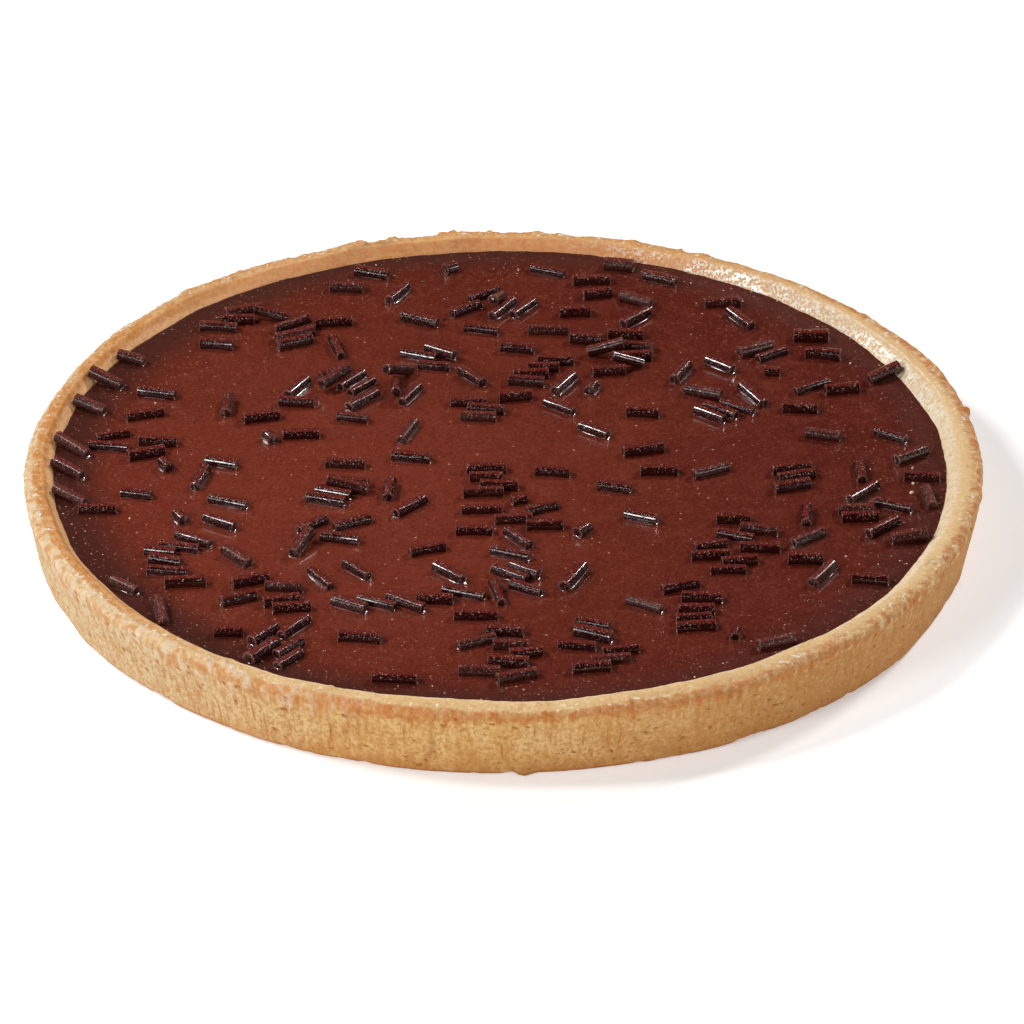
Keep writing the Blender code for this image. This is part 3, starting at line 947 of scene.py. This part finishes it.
rods = {
    "seed": 11,
    "length": 9.3 * mm,
    "lengthSpread": 0.7 * mm,
    "radius": 1.58 * mm,
    "radiusSpread": 0.11 * mm,
    "leanerLength": 8.6 * mm,
    "sunk": 0.19,  # share of a rod's thickness that is under the chocolate
    "sunkSpread": 0.06,
    "bend": 0.12 * mm,
    "singles": 82,
    "broken": 9,
    "spacing": 7.0 * mm,
    # heaps: (x, y) in mm, how many rods, and their main heading in degrees
    "heaps": (
        (-35, 41, 9, 60), (-75, 75, 4, 5), (-54, 67, 4, 20), (-1, 83, 5, 50), (44, 101, 3, -25),
        (30, 57, 7, 0), (11, 46, 5, 5), (-6, 29, 4, 0), (55, 29, 4, -25), (68, 59, 3, 12),
        (94, 42, 2, 18), (-3, -7, 5, -8), (4, -28, 6, -5), (-47, -36, 4, 35), (-79, -43, 6, -25),
        (-39, -14, 4, -22), (59, -40, 8, -4), (92, -25, 4, -12), (-1, -57, 6, -30), (-50, -64, 4, 4),
        (-1, -90, 7, 6), (23, -87, 6, 8), (-55, -87, 5, 45), (48, -70, 5, 4), (-30, -67, 3, -25),
        (72, -7, 3, 15), (-92, 10, 4, 2), (-19, 54, 3, -20),
    ),
    # rods that lean on the rim: (azimuth, heading) in degrees
    "leaners": (
        (151, -14), (158, -20), (165, -24), (176, -40), (182, -38), (189, -34), (213, -40), (221, -80),
        (24, 24), (-9, -82), (-20, 8), (-52, 22), (73, -10),
    ),
    "leanerRadius": 108.6 * mm,
    "ribPitch": 0.52 * mm,
    "dark": (0.014, 0.0008, 0.0014, 1),
    # a red tone of the rods, also painted along the lit top of each rod
    "edge": (0.165, 0.022, 0.015, 1),
    "dusty": (0.125, 0.042, 0.033, 1),
    "paintedGlint": (0.80, 0.50, 0.43, 1),
    "endRimAndGlint": (0.29, 0.105, 0.085, 1),
}


def crustHeightAt(x, y):
    # height of the chocolate, the inner slope or the rim's top at a place in plan
    shiftX, shiftY = tart["innerShift"]
    away = math.hypot(x - shiftX, y - shiftY)
    climb = math.tan(math.radians(tart["lipTurn"]))
    start = tart["fillingRadius"] - (tart["height"] - tart["fillingBelowRim"] - fillingLevel) / climb
    return min(max(fillingLevel, fillingLevel + (away - start) * climb), tart["height"])


def restingPose(x, y, heading, length, radius, sunk, placed):
    # the lowest height and the tilt at which a rod clears the chocolate, the crust and the rods under it
    along = Vector((math.cos(heading), math.sin(heading)))
    needs = []
    for step in range(11):
        s = length * (step / 10 - 0.5)
        px, py = x + along.x * s, y + along.y * s
        ground = crustHeightAt(px, py)
        need = ground + radius * (1 - 2 * sunk if ground <= fillingLevel else 1.25)
        for other in placed:
            across = Vector((px, py)) - Vector(other["middle"][:2])
            if across.length > other["length"]:
                continue
            t = max(-other["length"] / 2, min(other["length"] / 2, across.dot(other["along"])))
            side = (across - other["along"] * t).length
            reach = radius + other["radius"]
            if side < reach:
                need = max(need, other["middle"][2] + other["tilt"] * t + math.sqrt(reach**2 - side**2) * 0.94)
        needs.append((s, need))
    best = None
    for step in range(-30, 31):
        tilt = step * 0.02
        height = max(need - tilt * s for s, need in needs)
        if best is None or height < best[0] - 1e-7:
            best = (height, tilt)
    return best


def addRod(placed, chance, x, y, heading, length=None, crossing=0.0, dry=None):
    length = length or rods["length"] + chance.gauss(0, rods["lengthSpread"])
    radius = rods["radius"] + chance.gauss(0, rods["radiusSpread"])
    sunk = rods["sunk"] + chance.uniform(-1, 1) * rods["sunkSpread"]
    height, tilt = restingPose(x, y, heading, length, radius, sunk, placed)
    flat = fillingLevel + radius * (1 - 2 * sunk)
    lifted = height - flat
    # most rods lie side by side, and only a few cross over one another
    if dry is None and lifted > 0.25 * mm and (chance.random() > crossing or lifted > 2.1 * mm or abs(tilt) > 0.42):
        return False
    placed.append({
        "middle": (x, y, height),
        "along": Vector((math.cos(heading), math.sin(heading))),
        "heading": heading,
        "tilt": tilt,
        "length": length,
        "radius": radius,
        "dry": dry if dry is not None else min(max(lifted / (9 * mm), 0) + 0.7 * chance.random() ** 6, 1),
    })
    return True


def anyHeading(chance):
    # most rods lie across, the rest lean either way
    return math.radians(chance.choice((0, 0, 0, 0, 0, 0, 30, 38, 62, -30, -55, 85)) + chance.gauss(0, 12))


def scatterRods():
    chance = random.Random(rods["seed"])
    placed = []
    for azimuth, heading in rods["leaners"]:
        angle = math.radians(azimuth)
        shiftX, shiftY = tart["innerShift"]
        reach = rods["leanerRadius"] + chance.uniform(-1.0, 0.8) * mm
        x, y = math.cos(angle) * reach + shiftX, math.sin(angle) * reach + shiftY
        length = rods["leanerLength"] + chance.gauss(0, rods["lengthSpread"])
        addRod(placed, chance, x, y, math.radians(heading), length, dry=chance.uniform(0.4, 0.9))
    for heapX, heapY, count, main in rods["heaps"]:
        direction = Vector((math.cos(math.radians(main)), math.sin(math.radians(main))))
        across = Vector((-direction.y, direction.x))
        for index in range(count):
            # side by side, each a little further on, now and then one lying askew
            loose = 1.0
            turn = main + (chance.choice((-48, 55)) if chance.random() < 0.15 else chance.gauss(0, 10))
            for attempt in range(40):
                spot = Vector((heapX, heapY)) * mm
                spot += across * ((index - (count - 1) / 2) * 3.2 * mm + chance.gauss(0, 0.5 * mm) * loose)
                spot += direction * chance.gauss(0, 3.2 * mm) * loose
                if spot.length < 106 * mm and addRod(placed, chance, spot.x, spot.y, math.radians(turn), crossing=0.08):
                    break
                loose += 0.08
                turn = main + chance.gauss(0, 12)
    target, tries = len(placed) + rods["singles"], 0
    while len(placed) < target and tries < 6000:
        tries += 1
        angle, away = chance.uniform(0, 2 * math.pi), math.sqrt(chance.random()) * 106 * mm
        x, y = math.cos(angle) * away, math.sin(angle) * away
        near = min((Vector((x, y)) - Vector(other["middle"][:2])).length for other in placed)
        if near < rods["spacing"] * (1 - tries / 9000):
            continue
        broken = target - len(placed) <= rods["broken"]
        length = chance.uniform(2.6, 4.6) * mm if broken else None
        addRod(placed, chance, x, y, anyHeading(chance), length)
    print(len(placed), "rods placed")
    return placed


def rodShape():
    # one rod of unit length along X and unit radius, its cut ends a little rounded
    mesh = bmesh.new()
    sides = 12
    stations = ((-0.5, 0.95), (-0.49, 1.0), (-0.24, 0.99), (0.0, 1.0), (0.24, 0.99), (0.49, 1.0), (0.5, 0.95))
    rings = []
    for along, radius in stations:
        ring = []
        for side in range(sides):
            angle = 2 * math.pi * side / sides
            ring.append(mesh.verts.new((along, radius * math.cos(angle), radius * math.sin(angle))))
        rings.append(ring)
    for first, second in zip(rings, rings[1:]):
        for side in range(sides):
            after = (side + 1) % sides
            mesh.faces.new((first[side], second[side], second[after], first[after]))
    mesh.faces.new(rings[0])
    mesh.faces.new(list(reversed(rings[-1])))
    bmesh.ops.recalc_face_normals(mesh, faces=mesh.faces)
    data = bpy.data.meshes.new("rodShape")
    mesh.to_mesh(data)
    mesh.free()
    data.shade_smooth()
    data.set_sharp_from_angle(angle=math.radians(48))
    local = data.attributes.new("local", "FLOAT_VECTOR", "POINT")
    local.data.foreach_set("vector", [value for vertex in data.vertices for value in vertex.co])
    return bpy.data.objects.new("rodShape", data)


def rodTree():
    # puts a rod on each point, turned and sized by the point's own values, and bends each one a little
    inputs = {
        "Geometry": ("Geometry", None),
        "Rod": ("Object", None),
        "Lump Size": ("Float", 1.8 * mm),
        "Lump Height": ("Float", 0.10 * mm),
        "Material": ("Material", None),
    }
    tree, given, made = startTree("rodScatter", "GeometryNodeTree", inputs, {"Geometry": "Geometry"})

    def named(label):
        node = addNode(tree, "GeometryNodeInputNamedAttribute", data_type="FLOAT_VECTOR")
        node.inputs["Name"].default_value = label
        return node.outputs["Attribute"]

    shape = tree.nodes.new("GeometryNodeObjectInfo")
    feed(tree, shape.inputs["Object"], given["Rod"])
    rotation = tree.nodes.new("FunctionNodeEulerToRotation")
    feed(tree, rotation.inputs[0], named("turn"))
    spread = tree.nodes.new("GeometryNodeInstanceOnPoints")
    feed(tree, spread.inputs["Points"], given["Geometry"])
    feed(tree, spread.inputs["Instance"], shape.outputs["Geometry"])
    feed(tree, spread.inputs["Rotation"], rotation.outputs[0])
    feed(tree, spread.inputs["Scale"], named("size"))
    realize = tree.nodes.new("GeometryNodeRealizeInstances")
    feed(tree, realize.inputs["Geometry"], spread.outputs["Instances"])
    # each point's place on its own rod, in metres, for the material
    along, _, _ = parted(tree, named("local"))
    keep = addNode(tree, "GeometryNodeStoreNamedAttribute", data_type="FLOAT_VECTOR", domain="POINT")
    keep.inputs["Name"].default_value = "rodPlace"
    feed(tree, keep.inputs["Geometry"], realize.outputs["Geometry"])
    ownPlace = vectorCalc(tree, "MULTIPLY", named("local"), named("size"))
    feed(tree, keep.inputs["Value"], vectorCalc(tree, "ADD", ownPlace, named("own")))
    # how far up each point is on the side of its rod, from -1 to 1
    roll, _, _ = parted(tree, named("turn"))
    _, across, thick = parted(tree, named("local"))
    up = total(
        tree,
        product(tree, across, calc(tree, "SINE", roll)),
        product(tree, thick, calc(tree, "COSINE", roll)),
    )
    keepUp = addNode(tree, "GeometryNodeStoreNamedAttribute", data_type="FLOAT", domain="POINT")
    keepUp.inputs["Name"].default_value = "up"
    feed(tree, keepUp.inputs["Geometry"], keep.outputs["Geometry"])
    feed(tree, keepUp.inputs["Value"], up)
    curve = calc(tree, "SUBTRACT", product(tree, along, along, 4.0), 0.33)
    position = tree.nodes.new("GeometryNodeInputPosition").outputs[0]
    lumps = addNode(tree, "ShaderNodeTexNoise")
    feed(tree, lumps.inputs["Vector"], position)
    feed(tree, lumps.inputs["Scale"], calc(tree, "DIVIDE", 1.0, given["Lump Size"]))
    away = vectorCalc(tree, "SUBTRACT", lumps.outputs["Color"], (0.5, 0.5, 0.5))
    offset = stretched(tree, away, product(tree, given["Lump Height"], 2.0))
    offset = vectorCalc(tree, "ADD", offset, stretched(tree, named("bend"), curve))
    setPlace = tree.nodes.new("GeometryNodeSetPosition")
    feed(tree, setPlace.inputs["Geometry"], keepUp.outputs["Geometry"])
    feed(tree, setPlace.inputs["Offset"], offset)
    setMaterial = tree.nodes.new("GeometryNodeSetMaterial")
    feed(tree, setMaterial.inputs["Geometry"], setPlace.outputs["Geometry"])
    feed(tree, setMaterial.inputs["Material"], given["Material"])
    feed(tree, made["Geometry"], setMaterial.outputs["Geometry"])
    return tree


def makeRodMaterial():
    material, tree, shader = startMaterial(
        "rodChocolate", Specular_IOR_Level=0.24, Coat_Roughness=0.10, Coat_IOR=1.7
    )
    place = attributeOf(tree, "rodPlace", "Vector")
    dry = attributeOf(tree, "dry")
    up = attributeOf(tree, "up")
    # fine ribs across the rod, uneven along it
    along, _, _ = parted(tree, place)
    uneven = clouds(tree, place, 1.1 * mm, 2.0)
    turns = calc(tree, "MULTIPLY_ADD", along, 2 * math.pi / rods["ribPitch"], product(tree, uneven, 16.0))
    ribs = calc(tree, "MULTIPLY_ADD", calc(tree, "SINE", turns), 0.5, 0.5)
    dust = eased(tree, clouds(tree, place, 0.8 * mm, 3.0, 0.6), 0.42, 0.68)
    # painted light: redder along the top, where the light falls, and nearly black down the shaded sides
    paintedLitTop = eased(tree, total(tree, up, product(tree, uneven, 0.5)), 0.98, 1.16)
    colour = blended(tree, product(tree, total(tree, dust, ribs), 0.13), rods["dark"], rods["edge"])
    colour = blended(tree, product(tree, paintedLitTop, eased(tree, ribs, 0.0, 1.0, 0.55, 0.95)), colour, rods["edge"])
    # a paler rim round each cut end: partly the rod's own lighter edge, partly a painted highlight
    localX, localY, localZ = parted(tree, attributeOf(tree, "local", "Vector"))
    end = eased(tree, calc(tree, "ABSOLUTE", localX), 0.475, 0.495)
    outward = calc(tree, "SQRT", total(tree, product(tree, localY, localY), product(tree, localZ, localZ)))
    endRimAndGlintMask = product(tree, end, eased(tree, outward, 0.55, 0.86))
    colour = blended(tree, product(tree, endRimAndGlintMask, 0.5), colour, rods["endRimAndGlint"])
    colour = blended(tree, product(tree, dry, eased(tree, dust, 0.0, 1.0, 0.35, 0.75)), colour, rods["dusty"])
    # small raised grains catch the light, and a glint is painted on them, most of it near the top
    sparks = eased(tree, clouds(tree, place, 0.44 * mm, 1.0), 0.60, 0.68)
    paintedSparkGlint = product(tree, sparks, eased(tree, up, -0.1, 0.5))
    colour = blended(tree, product(tree, paintedSparkGlint, 0.38), colour, rods["paintedGlint"])
    feed(tree, shader.inputs["Base Color"], colour)
    smooth = eased(tree, uneven, 0.35, 0.65, 0.07, 0.15)
    feed(tree, shader.inputs["Roughness"], calc(tree, "MULTIPLY_ADD", dry, 0.22, smooth))
    # some rods are glossier than the rest, in patches along them
    glossy = eased(tree, clouds(tree, place, 30 * mm, 0.0), 0.47, 0.55, 0.04, 1.0)
    glossy = product(tree, glossy, eased(tree, uneven, 0.40, 0.54, 0.35, 1.0))
    shine = calc(tree, "MAXIMUM", glossy, product(tree, sparks, 0.55))
    feed(tree, shader.inputs["Coat Weight"], product(tree, shine, eased(tree, dry, 0.1, 0.8, 1.0, 0.08)))
    swelling = product(tree, clouds(tree, place, 1.6 * mm, 1.0), 0.6)
    bumped(tree, shader, total(tree, sparks, product(tree, ribs, 0.12), swelling), 0.16 * mm, 1.0)
    return material


def makeRods(placed):
    chance = random.Random(rods["seed"] + 1)
    mesh = bpy.data.meshes.new("rodPoints")
    mesh.from_pydata([rod["middle"] for rod in placed], [], [])
    turns, sizes, bends, owns, dries = [], [], [], [], []
    for index, rod in enumerate(placed):
        turns += [chance.uniform(0, 2 * math.pi), -math.atan(rod["tilt"]), rod["heading"]]
        sizes += [rod["length"], rod["radius"] * chance.uniform(0.93, 1.05), rod["radius"] * chance.uniform(0.90, 1.02)]
        side = Vector((-rod["along"].y, rod["along"].x, 0)) * chance.uniform(-1, 1)
        lift = Vector((0, 0, 1)) * chance.uniform(-0.3, 0.5)
        bends += list((side + lift) * rods["bend"])
        owns += [index * 50 * mm, 0, 0]
        dries += [rod["dry"]]
    for label, values in (("turn", turns), ("size", sizes), ("bend", bends), ("own", owns)):
        mesh.attributes.new(label, "FLOAT_VECTOR", "POINT").data.foreach_set("vector", values)
    mesh.attributes.new("dry", "FLOAT", "POINT").data.foreach_set("value", dries)
    piece = settled("chocolateRods", mesh, rodTree(), {"Rod": rodShape(), "Material": makeRodMaterial()})
    dress(piece, "sprinkle_chocolate")


placedRods = scatterRods()
makeRods(placedRods)
print("chocolate rods ready")


# ---- where the chocolate climbs the rods ----

fillets = {
    "points": 32,
    # (distance out from the rod, height above the chocolate) down the curve
    "curve": ((-0.10, 0.34), (0.02, 0.21), (0.13, 0.11), (0.28, 0.05), (0.48, 0.015), (0.78, -0.03)),
    "corner": 0.45,
}


def makeFillets(placed):
    mesh = bmesh.new()
    for rod in placed:
        wetSteps = []
        for step in range(21):
            s = rod["length"] * (step / 20 - 0.5)
            px = rod["middle"][0] + rod["along"].x * s
            py = rod["middle"][1] + rod["along"].y * s
            drop = rod["middle"][2] + rod["tilt"] * s - fillingLevel
            if abs(drop) < rod["radius"] * 0.85 and crustHeightAt(px, py) <= fillingLevel + 0.2 * mm:
                wetSteps.append((s, drop))
        if len(wetSteps) < 4:
            continue
        start, end = wetSteps[0][0], wetSteps[-1][0]
        half, middle = (end - start) / 2, (end + start) / 2
        rings = []
        for out, up in fillets["curve"]:
            ring = []
            for index in range(fillets["points"]):
                angle = 2 * math.pi * index / fillets["points"]
                cosine, sine = math.cos(angle), math.sin(angle)
                s = math.copysign(abs(cosine) ** fillets["corner"], cosine) * (half + out * mm)
                drop = min(wetSteps, key=lambda wet: abs(wet[0] - middle - s))[1]
                width = math.sqrt(max(rod["radius"] ** 2 - max(drop, 0) ** 2, 0))
                side = math.copysign(abs(sine) ** fillets["corner"], sine) * (width + out * mm)
                spot = rod["along"] * (middle + s) + Vector((-rod["along"].y, rod["along"].x)) * side
                x, y = rod["middle"][0] + spot.x, rod["middle"][1] + spot.y
                climb = 0.75 + 0.6 * noise.noise(Vector((x, y, 0)) / (1.6 * mm)) if up > 0 else 1
                ring.append(mesh.verts.new((x, y, fillingLevel + up * mm * climb)))
            rings.append(ring)
        for inner, outer in zip(rings, rings[1:]):
            for index in range(fillets["points"]):
                after = (index + 1) % fillets["points"]
                mesh.faces.new((inner[index], outer[index], outer[after], inner[after]))
    data = bpy.data.meshes.new("chocolateFillets")
    mesh.to_mesh(data)
    mesh.free()
    data.shade_smooth()
    data.materials.append(chocolate)
    glossy = data.attributes.new("meniscus", "FLOAT", "POINT")
    glossy.data.foreach_set("value", [1.0] * len(data.vertices))
    piece = bpy.data.objects.new("chocolateFillets", data)
    bpy.context.scene.collection.objects.link(piece)
    dress(piece, "chocolate")
    print("chocolateFillets", len(data.polygons) * 2, "triangles")


makeFillets(placedRods)
print("fillets ready")

# ---- air bubbles and crumbs ----

bits = {
    "seed": 23,
    "bubbles": 110,
    "bubbleSize": (0.30 * mm, 0.60 * mm),
    "bubbleInner": 78 * mm,
    "bubbleOuter": 108.5 * mm,
    # azimuths in degrees where bubbles gather, and their spread
    "bubbleCrowds": ((108, 14), (160, 22), (205, 20), (20, 14), (-95, 22), (-40, 18)),
    "crumbs": 16,
    "crumbSize": (0.16 * mm, 0.30 * mm),
    # crumbs that stand out: (x, y, size) in mm
    "namedCrumbs": ((102.5, -8.1, 0.45), (101.9, -12.7, 0.58), (102.7, -0.4, 0.32), (103.8, 5.9, 0.28), (3.9, -47.5, 0.65)),
    "crumbPale": (0.95, 0.74, 0.52, 1),
    "crumbBrown": (0.78, 0.50, 0.27, 1),
}


def bitShape(name, rings, sides, low):
    # a lumpy ball of unit radius with few faces, cut off below at this level
    mesh = bmesh.new()
    levels = [low + (1 - low) * step / rings for step in range(rings)]
    circles = []
    for level in levels:
        radius = math.sqrt(max(1 - level * level, 0))
        circle = []
        for side in range(sides):
            angle = 2 * math.pi * side / sides
            circle.append(mesh.verts.new((radius * math.cos(angle), radius * math.sin(angle), level)))
        circles.append(circle)
    for first, second in zip(circles, circles[1:]):
        for side in range(sides):
            after = (side + 1) % sides
            mesh.faces.new((first[side], first[after], second[after], second[side]))
    tip = mesh.verts.new((0, 0, 1))
    for side in range(sides):
        mesh.faces.new((circles[-1][side], circles[-1][(side + 1) % sides], tip))
    mesh.faces.new(list(reversed(circles[0])))
    bmesh.ops.recalc_face_normals(mesh, faces=mesh.faces)
    data = bpy.data.meshes.new(name)
    mesh.to_mesh(data)
    mesh.free()
    data.shade_smooth()
    return bpy.data.objects.new(name, data)


def bitTree():
    # puts a bit on each point at the point's own turn and size, and roughens it
    inputs = {
        "Geometry": ("Geometry", None),
        "Shape": ("Object", None),
        "Rough Size": ("Float", 0.5 * mm),
        "Rough Height": ("Float", 0.0),
        "Material": ("Material", None),
    }
    tree, given, made = startTree("bitScatter", "GeometryNodeTree", inputs, {"Geometry": "Geometry"})

    def named(label):
        node = addNode(tree, "GeometryNodeInputNamedAttribute", data_type="FLOAT_VECTOR")
        node.inputs["Name"].default_value = label
        return node.outputs["Attribute"]

    shape = tree.nodes.new("GeometryNodeObjectInfo")
    feed(tree, shape.inputs["Object"], given["Shape"])
    rotation = tree.nodes.new("FunctionNodeEulerToRotation")
    feed(tree, rotation.inputs[0], named("turn"))
    spread = tree.nodes.new("GeometryNodeInstanceOnPoints")
    feed(tree, spread.inputs["Points"], given["Geometry"])
    feed(tree, spread.inputs["Instance"], shape.outputs["Geometry"])
    feed(tree, spread.inputs["Rotation"], rotation.outputs[0])
    feed(tree, spread.inputs["Scale"], named("size"))
    realize = tree.nodes.new("GeometryNodeRealizeInstances")
    feed(tree, realize.inputs["Geometry"], spread.outputs["Instances"])
    rough = addNode(tree, "ShaderNodeTexNoise")
    feed(tree, rough.inputs["Vector"], tree.nodes.new("GeometryNodeInputPosition").outputs[0])
    feed(tree, rough.inputs["Scale"], calc(tree, "DIVIDE", 1.0, given["Rough Size"]))
    away = vectorCalc(tree, "SUBTRACT", rough.outputs["Color"], (0.5, 0.5, 0.5))
    setPlace = tree.nodes.new("GeometryNodeSetPosition")
    feed(tree, setPlace.inputs["Geometry"], realize.outputs["Geometry"])
    feed(tree, setPlace.inputs["Offset"], stretched(tree, away, product(tree, given["Rough Height"], 2.0)))
    setMaterial = tree.nodes.new("GeometryNodeSetMaterial")
    feed(tree, setMaterial.inputs["Geometry"], setPlace.outputs["Geometry"])
    feed(tree, setMaterial.inputs["Material"], given["Material"])
    feed(tree, made["Geometry"], setMaterial.outputs["Geometry"])
    return tree


def pointMesh(name, spots):
    # spots: (place, turn, size)
    mesh = bpy.data.meshes.new(name)
    mesh.from_pydata([place for place, turn, size in spots], [], [])
    for label, index in (("turn", 1), ("size", 2)):
        values = [number for spot in spots for number in spot[index]]
        mesh.attributes.new(label, "FLOAT_VECTOR", "POINT").data.foreach_set("vector", values)
    return mesh


def clearOfRods(x, y, placed, margin):
    for rod in placed:
        offset = Vector((x, y)) - Vector(rod["middle"][:2])
        t = max(-rod["length"] / 2, min(rod["length"] / 2, offset.dot(rod["along"])))
        if (offset - rod["along"] * t).length < rod["radius"] + margin:
            return False
    return True


def makeBubbles(placed):
    chance = random.Random(bits["seed"])
    spots = []
    while len(spots) < bits["bubbles"]:
        centre, spread = chance.choice(bits["bubbleCrowds"])
        angle = math.radians(centre + chance.gauss(0, spread))
        away = bits["bubbleOuter"] - abs(chance.gauss(0, 0.28)) * (bits["bubbleOuter"] - bits["bubbleInner"])
        x, y = math.cos(angle) * away, math.sin(angle) * away
        if not clearOfRods(x, y, placed, 0.8 * mm):
            continue
        size = chance.uniform(*bits["bubbleSize"])
        height = fillingLevel + 0.01 * mm
        spots.append(((x, y, height), (0, 0, chance.uniform(0, 6)), (size, size, size * chance.uniform(0.5, 0.9))))
    shape = bitShape("bubbleShape", 4, 10, -0.05)
    mesh = pointMesh("bubblePoints", spots)
    piece = settled("airBubbles", mesh, bitTree(), {"Shape": shape, "Material": chocolate})
    dress(piece, "chocolate")


def makeCrumbMaterial():
    material, tree, shader = startMaterial("crumbPastry", Roughness=0.75)
    tone = eased(tree, clouds(tree, objectPlace(tree), 0.6 * mm, 2.0), 0.35, 0.65)
    feed(tree, shader.inputs["Base Color"], blended(tree, tone, bits["crumbPale"], bits["crumbBrown"]))
    return material


def makeCrumbs(placed):
    chance = random.Random(bits["seed"] + 1)
    spots = []
    for x, y, size in bits["namedCrumbs"]:
        spots.append((x * mm, y * mm, size * mm))
    while len(spots) < bits["crumbs"]:
        angle = chance.uniform(0, 2 * math.pi)
        away = chance.uniform(88, 109) * mm
        x, y = math.cos(angle) * away, math.sin(angle) * away
        if clearOfRods(x, y, placed, 0.5 * mm):
            spots.append((x, y, chance.uniform(*bits["crumbSize"])))
    points = []
    for x, y, size in spots:
        over = 0.0 if clearOfRods(x, y, placed, 0.0) else 2.1 * mm
        turn = [chance.uniform(0, 6) for axis in range(3)]
        stretch = [size * chance.uniform(0.75, 1.15) for axis in range(3)]
        points.append(((x, y, fillingLevel + over + size * 0.45), turn, stretch))
    shape = bitShape("crumbShape", 4, 8, -0.8)
    values = {"Shape": shape, "Rough Size": 0.45 * mm, "Rough Height": 0.10 * mm, "Material": makeCrumbMaterial()}
    piece = settled("pastryCrumbs", pointMesh("crumbPoints", points), bitTree(), values)
    dress(piece, "pastry")


makeBubbles(placedRods)
makeCrumbs(placedRods)
print("bubbles and crumbs ready")
